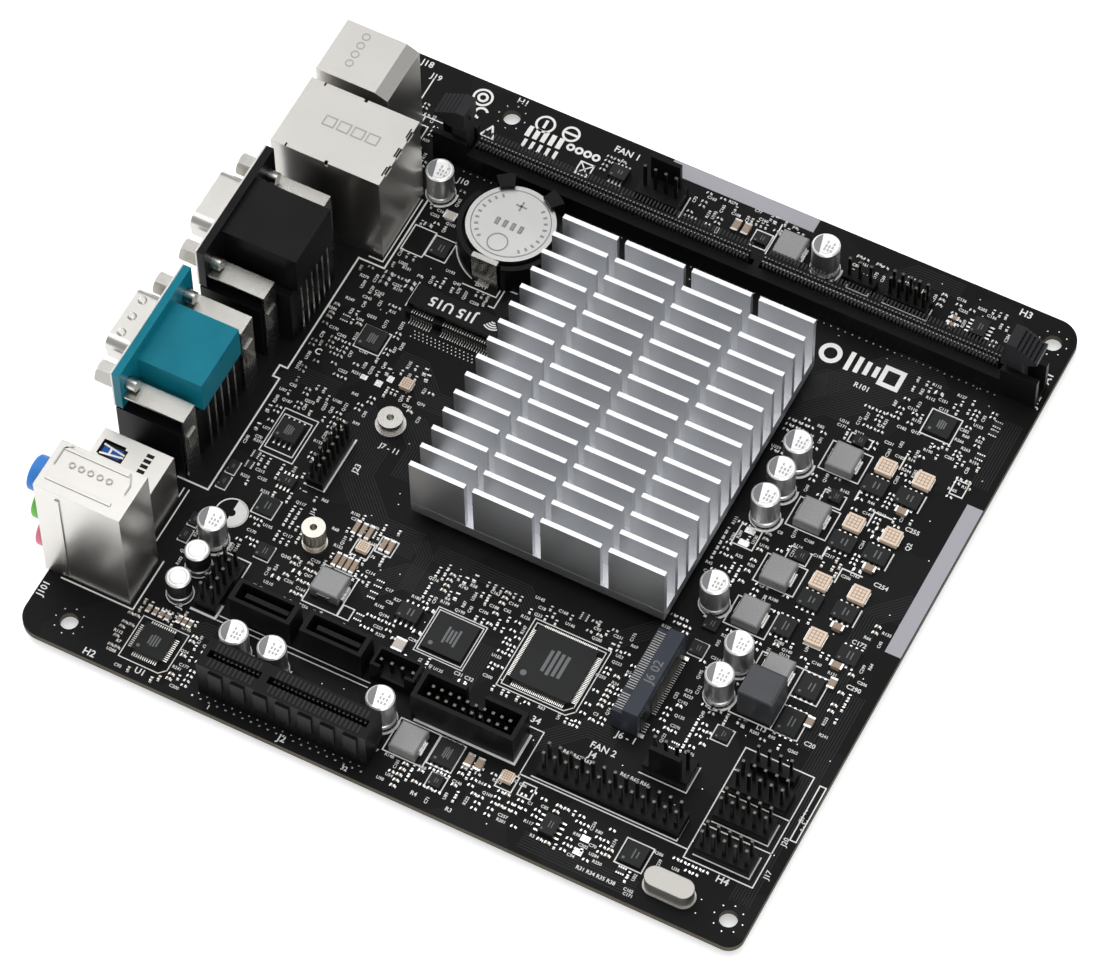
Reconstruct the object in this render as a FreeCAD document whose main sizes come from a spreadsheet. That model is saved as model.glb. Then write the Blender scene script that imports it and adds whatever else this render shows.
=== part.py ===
import FreeCAD, Part
import Sketcher
import math
import os
import re
from FreeCAD import Placement, Rotation, Vector

# Compact computer motherboard, 170 x 170 mm, millimetres.
# Origin: centre of the board's underside.  +Z is up, +Y is the edge with the rear ports,
# +X is the side with the memory slot.  Part heights are measured from the board's top face.

doc = FreeCAD.newDocument("motherboard")
sheet = doc.addObject("Spreadsheet::Sheet", "sizes")

SIZES = [
    ("board_side", 170.0),
    ("board_thickness", 1.6),
    ("corner_wide", 5.5),
    ("corner_tight", 3.5),
    ("mount_hole", 1.98),
    ("mount_left", -78.74),
    ("mount_right", 78.74),
    ("mount_front", -80.1),
    ("mount_rear_left", 74.84),
    ("mount_rear_right", 51.98),
    ("solder_length", 2.0),
    ("sheet_metal", 0.35),
    ("sink_x", 12.9),
    ("sink_y", -7.1),
    ("sink_width", 71.6),
    ("sink_length", 60.2),
    ("sink_lift", 2.3),
    ("sink_base", 3.0),
    ("sink_height", 20.25),
    ("fin_pitch", 5.03),
    ("fin_thickness", 1.15),
    ("fin_count", 15.0),
    ("cut_width", 1.9),
    ("cut_pitch", 16.0),
    ("cut_count", 3.0),
    ("screw_span_x", 60.0),
    ("screw_span_y", 48.0),
    ("screw_shank", 1.45),
    ("screw_clearance", 1.6),
    ("screw_head", 2.9),
    ("chip_width", 27.0),
    ("chip_length", 25.0),
    ("chip_height", 1.1),
    ("die_width", 11.0),
    ("die_length", 9.5),
    ("die_height", 0.5),
    ("pad_side", 14.0),
    ("memory_x", 64.75),
    ("memory_width", 6.3),
    ("memory_height", 5.6),
    ("memory_front", -75.0),
    ("memory_rear", 54.1),
    ("memory_key", -15.3),
    ("memory_groove", 1.5),
    ("memory_depth", 4.2),
    ("tower_length", 8.6),
    ("tower_height", 9.5),
    ("tower_slot", 3.8),
    ("latch_stem", 3.4),
    ("latch_grip", 5.6),
    ("latch_height", 19.6),
    ("latch_pivot_in", 3.0),
    ("latch_pivot_up", 3.4),
    ("latch_trunnion", 1.1),
    ("expansion_x", -77.5),
    ("expansion_width", 7.0),
    ("expansion_front", 2.4),
    ("expansion_length", 40.0),
    ("expansion_height", 11.2),
    ("expansion_key", 28.0),
    ("expansion_groove", 1.8),
    ("expansion_depth", 8.4),
    ("cell_x", 48.0),
    ("cell_y", 36.0),
    ("cell_radius", 10.0),
    ("cell_height", 3.2),
    ("cell_lift", 5.6),
    ("holder_radius", 11.9),
    ("holder_bore", 10.7),
    ("holder_wall_top", 8.0),
    ("hook_inner", 11.4),
    ("hook_outer", 12.5),
    ("hook_reach", 9.3),
    ("hook_under", 9.3),
    ("hook_top", 10.0),
    ("power_left", 52.9),
    ("power_width", 14.7),
    ("power_back", 68.4),
    ("power_front", 86.1),
    ("power_height", 29.0),
    ("network_left", 32.6),
    ("network_width", 18.7),
    ("network_back", 59.6),
    ("network_front", 86.2),
    ("network_height", 27.7),
    ("usb_left", -56.4),
    ("usb_width", 14.8),
    ("usb_back", 69.2),
    ("usb_front", 85.9),
    ("usb_height", 16.0),
    ("audio_left", -69.6),
    ("audio_width", 12.2),
    ("audio_back", 65.2),
    ("audio_front", 85.7),
    ("audio_height", 33.7),
    ("audio_pitch", 11.0),
    ("audio_first", 5.4),
    ("audio_ring", 4.0),
    ("audio_bore", 1.8),
    ("audio_reach", 3.6),
    ("flange_width", 31.0),
    ("flange_low", 17.8),
    ("flange_high", 30.2),
    ("port_axis", 24.0),
    ("bolt_half_span", 12.5),
    ("serial_x", -21.2),
    ("serial_block", 16.2),
    ("serial_back", 68.7),
    ("serial_face", 86.4),
    ("serial_top", 27.0),
    ("monitor_x", 13.85),
    ("monitor_block", 15.5),
    ("monitor_back", 65.35),
    ("monitor_face", 85.6),
    ("monitor_top", 29.1),
    ("shell_reach", 5.8),
    ("capacitor_radius", 3.15),
    ("capacitor_height", 9.0),
    ("audio_can_radius", 2.75),
    ("audio_can_height", 6.8),
    ("inductor_side", 6.6),
    ("inductor_height", 3.0),
    ("large_coil_width", 8.0),
    ("large_coil_length", 8.2),
    ("large_coil_height", 8.6),
    ("header_pitch", 2.54),
    ("fine_pitch", 2.0),
    ("header_base", 2.5),
    ("header_pin", 0.64),
    ("header_reach", 8.5),
]
for row, (alias, value) in enumerate(SIZES, 1):
    sheet.set("A%d" % row, alias)
    sheet.set("B%d" % row, str(value))
    sheet.setAlias("B%d" % row, alias)
doc.recompute()

# Every alias holds an underscore, so an expression names it plainly.
ALIAS = re.compile(r"\b([a-z]+(?:_[a-z]+)+)\b")
NODES = []
GAP = 0.1


def bound(text):
    return ALIAS.sub(r"sizes.\1", str(text))


def size(alias):
    return float(sheet.get(alias))


TOP = size("board_thickness")
LEG_END = -size("solder_length")


def place(item, at):
    for axis, text in zip("xyz", at):
        item.setExpression("Placement.Base." + axis, bound(text))
    return item


def block(name, extent, at):
    """A box with its low corner at a place; extent and place are expressions."""
    item = doc.addObject("Part::Box", name)
    for side, text in zip(("Length", "Width", "Height"), extent):
        item.setExpression(side, bound(text))
    return place(item, at)


def rod(name, radius, height, at, turn=None):
    """A cylinder from a place, along +Z unless it is turned."""
    item = doc.addObject("Part::Cylinder", name)
    item.setExpression("Radius", bound(radius))
    item.setExpression("Height", bound(height))
    if turn:
        item.Placement = Placement(Vector(), turn)
    return place(item, at)


def cut(name, base, tools):
    item = doc.addObject("Part::Cut", name)
    item.Base = base
    item.Tool = tools[0] if len(tools) == 1 else fuse(name + "_tools", tools)
    return item


def fuse(name, pieces):
    item = doc.addObject("Part::MultiFuse", name)
    item.Shapes = pieces
    return item


def group(name, pieces):
    item = doc.addObject("Part::Compound", name)
    item.Links = pieces
    return item


def solid(name, shape):
    """A feature that holds a shape made with Part's own functions."""
    item = doc.addObject("Part::Feature", name)
    item.Shape = shape
    item.Placement = Placement()
    return item


def node(label, item):
    item.Label = label
    NODES.append(item)
    return item


def copies(name, master, places, turns=None):
    """Separate copies of one solid, each moved to its own place on the board."""
    doc.recompute()
    shapes = []
    for index, (x, y) in enumerate(places):
        turned = master.Shape.copy()
        if turns and turns[index]:
            turned.rotate(Vector(), Vector(0, 0, 1), turns[index])
        turned.translate(Vector(x, y, 0))
        shapes.append(turned)
    return solid(name, Part.makeCompound(shapes))


def cuboid(x, y, width, length, low, high):
    """A plain box shape centred at x, y; heights from the board's top face."""
    corner = Vector(x - width / 2, y - length / 2, TOP + low)
    return Part.makeBox(width, length, high - low, corner)


def slab(x0, x1, y0, y1, z0, z1):
    """A plain box shape between two corners; heights from the board's top face."""
    return Part.makeBox(x1 - x0, y1 - y0, z1 - z0, Vector(x0, y0, TOP + z0))


def prism(points, offset, depth, axis):
    """An outline pushed along X or Y: points are the two other coordinates."""
    if axis == "x":
        corners = [Vector(offset, u, v + TOP) for u, v in points]
        push = Vector(depth, 0, 0)
    else:
        corners = [Vector(u, offset, v + TOP) for u, v in points]
        push = Vector(0, depth, 0)
    face = Part.Face(Part.makePolygon(corners + corners[:1]))
    return face.extrude(push)


def origin_plane(body, role):
    for item in body.Origin.OriginFeatures:
        if item.Role == role:
            return item
    raise ValueError(role)


def rectangle(body, name, width, length, centre, lift):
    """A constrained rectangle on the body's XY plane, lifted and moved by expressions."""
    sketch = body.newObject("Sketcher::SketchObject", name)
    sketch.AttachmentSupport = [(origin_plane(body, "XY_Plane"), "")]
    sketch.MapMode = "FlatFace"
    corners = [Vector(-1, -1, 0), Vector(1, -1, 0), Vector(1, 1, 0), Vector(-1, 1, 0)]
    lines = [Part.LineSegment(corners[i], corners[(i + 1) % 4]) for i in range(4)]
    sketch.addGeometry(lines, False)
    for i in range(4):
        sketch.addConstraint(Sketcher.Constraint("Coincident", i, 2, (i + 1) % 4, 1))
    for i in (0, 2):
        sketch.addConstraint(Sketcher.Constraint("Horizontal", i))
        sketch.addConstraint(Sketcher.Constraint("Vertical", i + 1))
    sketch.addConstraint(Sketcher.Constraint("Symmetric", 0, 1, 2, 1, -1, 1))
    wide = sketch.addConstraint(Sketcher.Constraint("DistanceX", 0, 1, 0, 2, 2.0))
    sketch.renameConstraint(wide, "width")
    long = sketch.addConstraint(Sketcher.Constraint("DistanceY", 1, 1, 1, 2, 2.0))
    sketch.renameConstraint(long, "length")
    sketch.setExpression("Constraints.width", bound(width))
    sketch.setExpression("Constraints.length", bound(length))
    for axis, text in zip("xyz", (centre[0], centre[1], lift)):
        sketch.setExpression("AttachmentOffset.Base." + axis, bound(text))
    return sketch


def circles(body, name, spots, lift):
    """Circles on the body's XY plane; each spot is x, y and radius as expressions."""
    sketch = body.newObject("Sketcher::SketchObject", name)
    sketch.AttachmentSupport = [(origin_plane(body, "XY_Plane"), "")]
    sketch.MapMode = "FlatFace"
    for index, (x, y, radius) in enumerate(spots):
        sketch.addGeometry(Part.Circle(Vector(index, index, 0), Vector(0, 0, 1), 1.0), False)
        kinds = (("Radius", (index,), radius), ("DistanceX", (-1, 1, index, 3), x),
                 ("DistanceY", (-1, 1, index, 3), y))
        for kind, refs, text in kinds:
            start = 1.0 if kind == "Radius" else float(index)
            number = sketch.addConstraint(Sketcher.Constraint(kind, *refs, start))
            label = "%s_%d" % (kind.lower(), index)
            sketch.renameConstraint(number, label)
            sketch.setExpression("Constraints." + label, bound(text))
    sketch.setExpression("AttachmentOffset.Base.z", bound(lift))
    return sketch


def pad(body, name, sketch, height):
    item = body.newObject("PartDesign::Pad", name)
    item.Profile = sketch
    item.setExpression("Length", bound(height))
    return item


def pocket(body, name, sketch, depth, upward):
    """A pocket cut from the sketch's plane, up or down, by the depth."""
    item = body.newObject("PartDesign::Pocket", name)
    item.Profile = sketch
    item.Reversed = upward
    item.setExpression("Length", bound(depth))
    return item


def row_pattern(body, name, feature, role, span, count):
    item = body.newObject("PartDesign::LinearPattern", name)
    item.Originals = [feature]
    axis = [one for one in body.Origin.OriginFeatures if one.Role == role][0]
    item.Direction = (axis, [""])
    item.setExpression("Length", bound(span))
    item.setExpression("Occurrences", bound(count))
    body.Tip = item
    return item


# ---------------------------------------------------------------- board and cooling
board = doc.addObject("PartDesign::Body", "board_body")
outline = rectangle(board, "board_outline", "board_side", "board_side", ("0", "0"), "0")
board_pad = pad(board, "board_pad", outline, "board_thickness")


def round_corners(name, base, alias, diagonal):
    """Rounds the two upright corners on one diagonal of the board."""
    doc.recompute()
    edges = []
    for number, edge in enumerate(base.Shape.Edges, 1):
        upright = edge.BoundBox.ZLength > 1.0 and edge.BoundBox.XLength < 0.01
        square = edge.BoundBox.YLength < 0.01 and edge.BoundBox.Center.Length > 100.0
        side = edge.BoundBox.Center.x * edge.BoundBox.Center.y
        if upright and square and side * diagonal > 0:
            edges.append("Edge%d" % number)
    item = board.newObject("PartDesign::Fillet", name)
    item.Base = (base, edges)
    item.setExpression("Radius", bound(alias))
    return item


tight_corners = round_corners("tight_corners", board_pad, "corner_tight", 1)
round_corners("wide_corners", tight_corners, "corner_wide", -1)
screw_spots = []
for side_x in (-1, 1):
    for side_y in (-1, 1):
        spot_x = "sink_x + %d * screw_span_x / 2" % side_x
        spot_y = "sink_y + %d * screw_span_y / 2" % side_y
        screw_spots.append((spot_x, spot_y))
hole_spots = [
    ("mount_left", "mount_front", "mount_hole"),
    ("mount_left", "mount_rear_left", "mount_hole"),
    ("mount_right", "mount_front", "mount_hole"),
    ("mount_right", "mount_rear_right", "mount_hole"),
] + [(x, y, "screw_clearance") for x, y in screw_spots]
holes = circles(board, "board_holes", hole_spots, "0")
pocket(board, "board_drilled", holes, "board_thickness", True)
node("circuit_board", board)

node("processor_package", block(
    "chip", ("chip_width", "chip_length", "chip_height"),
    ("sink_x - chip_width / 2", "sink_y - chip_length / 2", "board_thickness")))
node("processor_die", block(
    "die", ("die_width", "die_length", "die_height"),
    ("sink_x - die_width / 2", "sink_y - die_length / 2", "board_thickness + chip_height")))
node("thermal_pad", block(
    "pad", ("pad_side", "pad_side", "sink_lift - chip_height - die_height"),
    ("sink_x - pad_side / 2", "sink_y - pad_side / 2",
     "board_thickness + chip_height + die_height")))

sink = doc.addObject("PartDesign::Body", "sink_body")
SINK_FLOOR = "board_thickness + sink_lift"
FIN_FLOOR = SINK_FLOOR + " + sink_base"
plate = rectangle(sink, "sink_plate", "sink_width", "sink_length", ("sink_x", "sink_y"), SINK_FLOOR)
pad(sink, "sink_base_pad", plate, "sink_base")
first_fin = "sink_x - (fin_count - 1) * fin_pitch / 2"
fin = rectangle(sink, "sink_fin", "fin_thickness", "sink_length", (first_fin, "sink_y"), FIN_FLOOR)
fin_pad = pad(sink, "sink_fin_pad", fin, "sink_height - sink_lift - sink_base")
row_pattern(sink, "sink_fins", fin_pad, "X_Axis", "(fin_count - 1) * fin_pitch", "fin_count")
doc.recompute()
slot = rectangle(sink, "sink_cut", "sink_width + 2", "cut_width",
                 ("sink_x", "sink_y - cut_pitch"), "board_thickness + sink_height")
slot_cut = pocket(sink, "sink_cut_pocket", slot, "sink_height - sink_lift - sink_base", False)
row_pattern(sink, "sink_cuts", slot_cut, "Y_Axis", "(cut_count - 1) * cut_pitch", "cut_count")
doc.recompute()
tapped = circles(sink, "sink_taps", [(x, y, "screw_shank + 0.05") for x, y in screw_spots],
                 SINK_FLOOR)
pocket(sink, "sink_tapped", tapped, "sink_base - 0.4", True)
node("heatsink", sink)

spacers = []
screws = []
for index, (x, y) in enumerate(screw_spots):
    outer = rod("spacer_outer%d" % index, "screw_head", "sink_lift", (x, y, "board_thickness"))
    bore = rod("spacer_bore%d" % index, "screw_clearance", "sink_lift", (x, y, "board_thickness"))
    spacers.append(cut("spacer%d" % index, outer, [bore]))
    head = rod("screw_head%d" % index, "screw_head", "solder_length", (x, y, "-solder_length"))
    drive = rod("screw_drive%d" % index, "1.1", "1.2", (x, y, "-solder_length"))
    shank = rod("screw_shank%d" % index, "screw_shank",
                "board_thickness + sink_lift + sink_base - 0.6", (x, y, "0"))
    screws.append(cut("screw%d" % index, fuse("screw_blank%d" % index, [head, shank]), [drive]))
node("heatsink_spacers", group("spacer_group", spacers))
node("heatsink_screws", group("screw_group", screws))

# ---------------------------------------------------------------- memory slot and latches
MEMORY_LEFT = "memory_x - memory_width / 2"
bar = block("memory_bar", ("memory_width", "memory_rear - memory_front", "memory_height"),
            (MEMORY_LEFT, "memory_front", "board_thickness"))
towers = []
tower_cuts = []
for tag, low in (("rear", "memory_rear"), ("front", "memory_front - tower_length")):
    towers.append(block("tower_" + tag, ("memory_width", "tower_length", "tower_height"),
                        (MEMORY_LEFT, low, "board_thickness")))
    slot_low = low if tag == "rear" else low + " - 1"
    tower_cuts.append(block(
        "tower_slot_" + tag, ("tower_slot", "tower_length + 1", "tower_height"),
        ("memory_x - tower_slot / 2", slot_low, "board_thickness + 1.5")))
    sign = 1 if tag == "rear" else -1
    edge = "memory_rear" if tag == "rear" else "memory_front"
    tower_cuts.append(rod(
        "tower_bearing_" + tag, "latch_trunnion + 0.15", "5.3",
        ("memory_x - 2.65", "%s + %d * latch_pivot_in" % (edge, sign),
         "board_thickness + latch_pivot_up"), Rotation(Vector(0, 1, 0), 90)))
GROOVE_LEFT = "memory_x - memory_groove / 2"
GROOVE_FLOOR = "board_thickness + memory_height - memory_depth"
grooves = [
    block("groove_rear", ("memory_groove", "memory_rear - memory_key - 1.35", "memory_depth"),
          (GROOVE_LEFT, "memory_key + 0.75", GROOVE_FLOOR)),
    block("groove_front", ("memory_groove", "memory_key - memory_front - 1.35", "memory_depth"),
          (GROOVE_LEFT, "memory_front + 0.6", GROOVE_FLOOR)),
]
node("memory_slot_housing", cut("memory_housing", fuse("memory_blank", [bar] + towers),
                                tower_cuts + grooves))


def contact_strips(name, x, groove, floor, height, spans):
    """Thin contact rows on both walls of a card groove."""
    strips = []
    for number, (low, high) in enumerate(spans):
        for side in (-1, 1):
            left = "%s + %s" % (x, "(%s) / 2 - 0.3" % groove) if side > 0 else \
                   "%s - (%s) / 2" % (x, groove)
            strips.append(block("%s_%d_%d" % (name, number, side + 1),
                                ("0.3", "(%s) - (%s)" % (high, low), height),
                                (left, low, floor)))
    return group(name, strips)


node("memory_slot_contacts", contact_strips(
    "memory_contacts", "memory_x", "memory_groove", GROOVE_FLOOR + " + 0.2", "2.6",
    [("memory_front + 1.4", "memory_key - 1.5"), ("memory_key + 1.5", "memory_rear - 1.4")]))


def latch(label, sign):
    """An end latch: a narrow stem on a trunnion, under a wide ribbed grip."""
    x = size("memory_x")
    edge = size("memory_rear") if sign > 0 else size("memory_front")
    pivot_y = edge + sign * size("latch_pivot_in")
    pivot_z = size("latch_pivot_up")
    top = size("latch_height")
    stem = size("latch_stem")
    grip = size("latch_grip")
    inner = 0.6
    outer = 4.6
    stem_points = [(inner, pivot_z), (inner, top - 4), (outer - 0.4, top - 4), (outer, pivot_z)]
    grip_points = [(inner, 13.6), (inner, top), (inner + 2.4, top)]
    rib = 1.0
    drop = 0.55
    for step in range(5):
        out = inner + 2.4 + rib * step
        low = top - drop * (step + 1)
        grip_points += [(out, low - 0.35), (out + rib * 0.35, low), (out + rib, low)]
    grip_points += [(inner + 7.4, top - 3.9), (outer, 13.6)]
    hook_points = [(inner, 15.2), (inner, 17.4), (inner - 0.5, 16.9), (inner - 0.5, 15.7)]

    def wall(points, width):
        spots = [(edge + sign * u, v) for u, v in points]
        return prism(spots, x - width / 2, width, "x")

    boss = Part.makeCylinder(1.6, stem, Vector(x - stem / 2, pivot_y, TOP + pivot_z),
                             Vector(1, 0, 0))
    pin = Part.makeCylinder(size("latch_trunnion"), 5.0,
                            Vector(x - 2.5, pivot_y, TOP + pivot_z), Vector(1, 0, 0))
    shape = wall(stem_points, stem).fuse([boss, pin, wall(grip_points, grip),
                                          wall(hook_points, 1.2)])
    return node(label, solid(label + "_shape", shape.removeSplitter()))


latch("memory_latch_rear", 1)
latch("memory_latch_front", -1)

# ---------------------------------------------------------------- expansion slot
EXPANSION_LEFT = "expansion_x - expansion_width / 2"
expansion = block("expansion_bar", ("expansion_width", "expansion_length", "expansion_height"),
                  (EXPANSION_LEFT, "expansion_front", "board_thickness"))
ribs = []
for index in range(7):
    ribs.append(block("expansion_rib%d" % index, ("0.5", "3.2", "6"),
                      (EXPANSION_LEFT + " - 0.5", "expansion_front + 2 + %.1f" % (5.3 * index),
                       "board_thickness + 4")))
EXPANSION_FLOOR = "board_thickness + expansion_height - expansion_depth"
expansion_grooves = [
    block("expansion_long", ("expansion_groove", "expansion_key - expansion_front - 2.1",
                             "expansion_depth"),
          ("expansion_x - expansion_groove / 2", "expansion_front + 1.2", EXPANSION_FLOOR)),
    block("expansion_short", ("expansion_groove",
                              "expansion_front + expansion_length - expansion_key - 2.1",
                              "expansion_depth"),
          ("expansion_x - expansion_groove / 2", "expansion_key + 0.9", EXPANSION_FLOOR)),
]
node("expansion_slot_housing", cut("expansion_housing",
                                   fuse("expansion_blank", [expansion] + ribs),
                                   expansion_grooves))
node("expansion_slot_contacts", contact_strips(
    "expansion_contacts", "expansion_x", "expansion_groove", EXPANSION_FLOOR + " + 0.5", "6.5",
    [("expansion_front + 1.8", "expansion_key - 1.5"),
     ("expansion_key + 1.5", "expansion_front + expansion_length - 1.8")]))

# ---------------------------------------------------------------- card sockets and standoffs
storage = slab(-49.3, -27.2, -44.3, -38.2, 0, 8.5)
storage = storage.cut(slab(-49.8, -26.7, -40.7, -37.7, 6.8, 9.0))
storage = storage.cut(slab(-48.6, -27.9, -42.5, -40.2, 6.8, 7.7))
node("storage_socket_housing", solid("storage_socket", storage))
storage_leads = [slab(-49.4, -48.5, -45.6, -44.3, 0, 0.5), slab(-28.6, -27.7, -45.6, -44.3, 0, 0.5)]
for low, high in ((-48.6, -44.4), (-43.3, -28.0)):
    storage_leads.append(slab(low, high, -40.9, -38.4, 6.8, 6.95))
for low, high in ((-48.0, -45.4), (-43.2, -28.9)):
    tail = slab(low, high, -45.4, -44.3, 0, 0.25)
    storage_leads.append(tail.fuse(slab(low, high, -44.5, -44.3, 0, 6.5)).removeSplitter())
node("storage_socket_contacts", solid("storage_leads", Part.makeCompound(storage_leads)))
wireless = slab(21.2, 27.8, 26.2, 48.0, 0, 4.2)
wireless = wireless.cut(slab(20.7, 22.4, 25.7, 48.5, 2.4, 5.0))
wireless = wireless.cut(slab(22.0, 24.6, 27.0, 47.2, 2.4, 3.3))
node("wireless_socket_housing", solid("wireless_socket", wireless))
wireless_leads = [slab(27.8, 29.2, 27.2, 47.0, 0, 0.25)]
for low, high in ((27.2, 39.1), (41.3, 46.8)):
    wireless_leads.append(slab(21.3, 23.4, low, high, 2.4, 2.55))
    tail = slab(19.8, 21.2, low, high, 0, 0.25)
    wireless_leads.append(tail.fuse(slab(21.0, 21.2, low, high, 0, 1.5)).removeSplitter())
node("wireless_socket_contacts", solid("wireless_leads", Part.makeCompound(wireless_leads)))


def standoff(label, x, y, rings, height, depth):
    """A turned standoff: rings are radius, low and high; M2 thread from the top."""
    at = Vector(x, y, TOP)
    shape = Part.makeCylinder(rings[0][0], rings[0][2] - rings[0][1], at + Vector(0, 0, rings[0][1]))
    for radius, low, high in rings[1:]:
        shape = shape.fuse(Part.makeCylinder(radius, high - low, at + Vector(0, 0, low)))
    thread = Part.makeCylinder(0.8, depth, at + Vector(0, 0, height - depth))
    shape = shape.removeSplitter().cut(thread)
    return node(label, solid(label + "_shape", shape))


standoff("storage_standoff", -38.6, 37.8, [(2.8, 0, 1.0), (2.0, 1.0, 2.6), (2.6, 2.6, 7.0)], 7.0, 5.0)
standoff("wireless_standoff", -4.8, 37.7, [(3.4, 0, 0.5), (2.8, 0.5, 3.0)], 3.0, 2.5)

# ---------------------------------------------------------------- coin cell and holder
cell_at = Vector(size("cell_x"), size("cell_y"), TOP)
cell_floor = size("cell_lift")
holder = Part.makeCylinder(size("holder_radius"), size("holder_wall_top"), cell_at)
holder = holder.cut(Part.makeCylinder(size("holder_bore"), 4.0,
                                      cell_at + Vector(0, 0, cell_floor - GAP)))
opening = Part.makeBox(9.0, 24.0, 4.0, cell_at + Vector(5.0, -12.0, cell_floor - GAP))
holder = holder.cut(opening)
for angle in (-32, 32):
    post = Part.makeCylinder(size("hook_outer"), size("hook_top"), cell_at, Vector(0, 0, 1), 20)
    post = post.cut(Part.makeCylinder(size("hook_reach"), 20.0, cell_at))
    post = post.cut(Part.makeCylinder(size("hook_inner"),
                                      size("hook_under") - cell_floor + GAP,
                                      cell_at + Vector(0, 0, cell_floor - GAP)))
    post.rotate(cell_at, Vector(0, 0, 1), angle - 10)
    holder = holder.fuse(post)
clip_y = 36.5
holder = holder.cut(Part.makeBox(2.0, 7.4, 12.0, Vector(35.4, clip_y - 3.7, TOP)))
holder = holder.cut(Part.makeCylinder(6.0, 3.0, cell_at + Vector(0, 0, cell_floor - 3.0)))
node("battery_holder", solid("holder_shape", holder.removeSplitter()))

clip = slab(36.2, 36.6, clip_y - 3.1, clip_y + 3.1, 0, 9.6)
clip = clip.fuse(slab(36.2, 37.5, clip_y - 3.1, clip_y + 3.1, 9.2, 9.6))
for side in (-1, 1):
    clip = clip.fuse(Part.makeBox(0.4, 1.2, TOP - LEG_END,
                                  Vector(36.2, clip_y + side * 2.2 - 0.6, LEG_END)))
node("battery_clip", solid("clip_shape", clip.removeSplitter()))

cell = doc.addObject("PartDesign::Body", "cell_body")
can = circles(cell, "cell_can", [("cell_x", "cell_y", "cell_radius")],
              "board_thickness + cell_lift + 0.5")
pad(cell, "cell_can_pad", can, "cell_height - 0.5")
doc.recompute()
foot = circles(cell, "cell_foot", [("cell_x", "cell_y", "cell_radius - 1.1")],
               "board_thickness + cell_lift")
pad(cell, "cell_foot_pad", foot, "0.5")
node("coin_cell", cell)

# ---------------------------------------------------------------- rear port shields
METAL = size("sheet_metal")


def shield(prefix, bevel=(0.0, 0.0)):
    """A folded sheet shield, open at the port face and under, with four solder legs."""
    left = size(prefix + "_left")
    right = left + size(prefix + "_width")
    back = size(prefix + "_back")
    front = size(prefix + "_front")
    high = size(prefix + "_height")
    run, fall = bevel
    outer = [(back, 0), (front, 0), (front, high), (back + run, high), (back, high - fall)]
    inner = [(back + METAL, -1), (front + 1, -1), (front + 1, high - METAL),
             (back + METAL + run, high - METAL), (back + METAL, high - METAL - fall)]
    if not run:
        outer = outer[:3] + outer[4:]
        inner = inner[:3] + inner[4:]
    shape = prism(outer, left, right - left, "x")
    shape = shape.cut(prism(inner, left + METAL, right - left - 2 * METAL, "x"))
    for x in (left, right - METAL):
        for y in (back + 2.5, front - 6.5):
            shape = shape.fuse(Part.makeBox(METAL, 2.2, TOP - LEG_END, Vector(x, y, LEG_END)))
    return shape


def frame_of(prefix):
    left = size(prefix + "_left")
    right = left + size(prefix + "_width")
    return left, right, size(prefix + "_back"), size(prefix + "_front"), size(prefix + "_height")


def insulator(prefix, setback, top_gap):
    left, right, back, front, high = frame_of(prefix)
    inset = METAL + 0.05
    return slab(left + inset, right - inset, back + inset + 0.3, front - setback, 0, high - top_gap)


def usb_opening(shape, centre, face, low, depth):
    """A type A opening 12.6 x 5.2 mm with its contact tongue left inside."""
    shape = shape.cut(slab(centre - 6.3, centre + 6.3, face - depth, face + 1, low, low + 5.2))
    return shape.fuse(slab(centre - 5.6, centre + 5.6, face - depth, face - 1.5,
                           low + 2.9, low + 4.6))


left, right, back, front, high = frame_of("power")
node("power_port_shield", solid("power_shield", shield("power", (3.1, 1.4)).removeSplitter()))
middle = (left + right) / 2
core = insulator("power", 0.6, 1.9)
core = usb_opening(core, middle, front - 0.6, 2.0, 12.0)
core = usb_opening(core, middle, front - 0.6, 9.6, 12.0)
jack_axis = 21.6
bore = Part.makeCylinder(3.2, 11.0, Vector(middle, front - 11.0, TOP + jack_axis), Vector(0, 1, 0))
node("power_port_insulator", solid("power_core", core.cut(bore)))
node("power_jack_pin", solid("jack_pin", Part.makeCylinder(
    1.25, 10.4, Vector(middle, front - 11.0, TOP + jack_axis), Vector(0, 1, 0))))

left, right, back, front, high = frame_of("network")
network = shield("network")
middle = (left + right) / 2
for offset in (-5.0, 0.0, 5.0):
    network = network.cut(slab(middle + offset - 1.3, middle + offset + 1.3,
                               back - 1, back + 0.45, high - 0.9, high + 1))
for x in (left - 1, right - 0.7):
    network = network.cut(slab(x, x + 1.7, back + 12.6, back + 13.4, high - 1.2, high + 1))
node("network_port_shield", solid("network_shield", network.removeSplitter()))
core = insulator("network", 0.6, 1.3)
core = usb_opening(core, middle, front - 0.6, 1.4, 12.0)
core = usb_opening(core, middle, front - 0.6, 8.0, 12.0)
core = core.cut(slab(middle - 6.0, middle + 6.0, front - 15.0, front + 1, 15.2, 23.4))
core = core.cut(slab(middle - 3.0, middle + 3.0, front - 9.0, front + 1, 13.9, 16.0))
node("network_port_insulator", solid("network_core", core))

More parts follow.
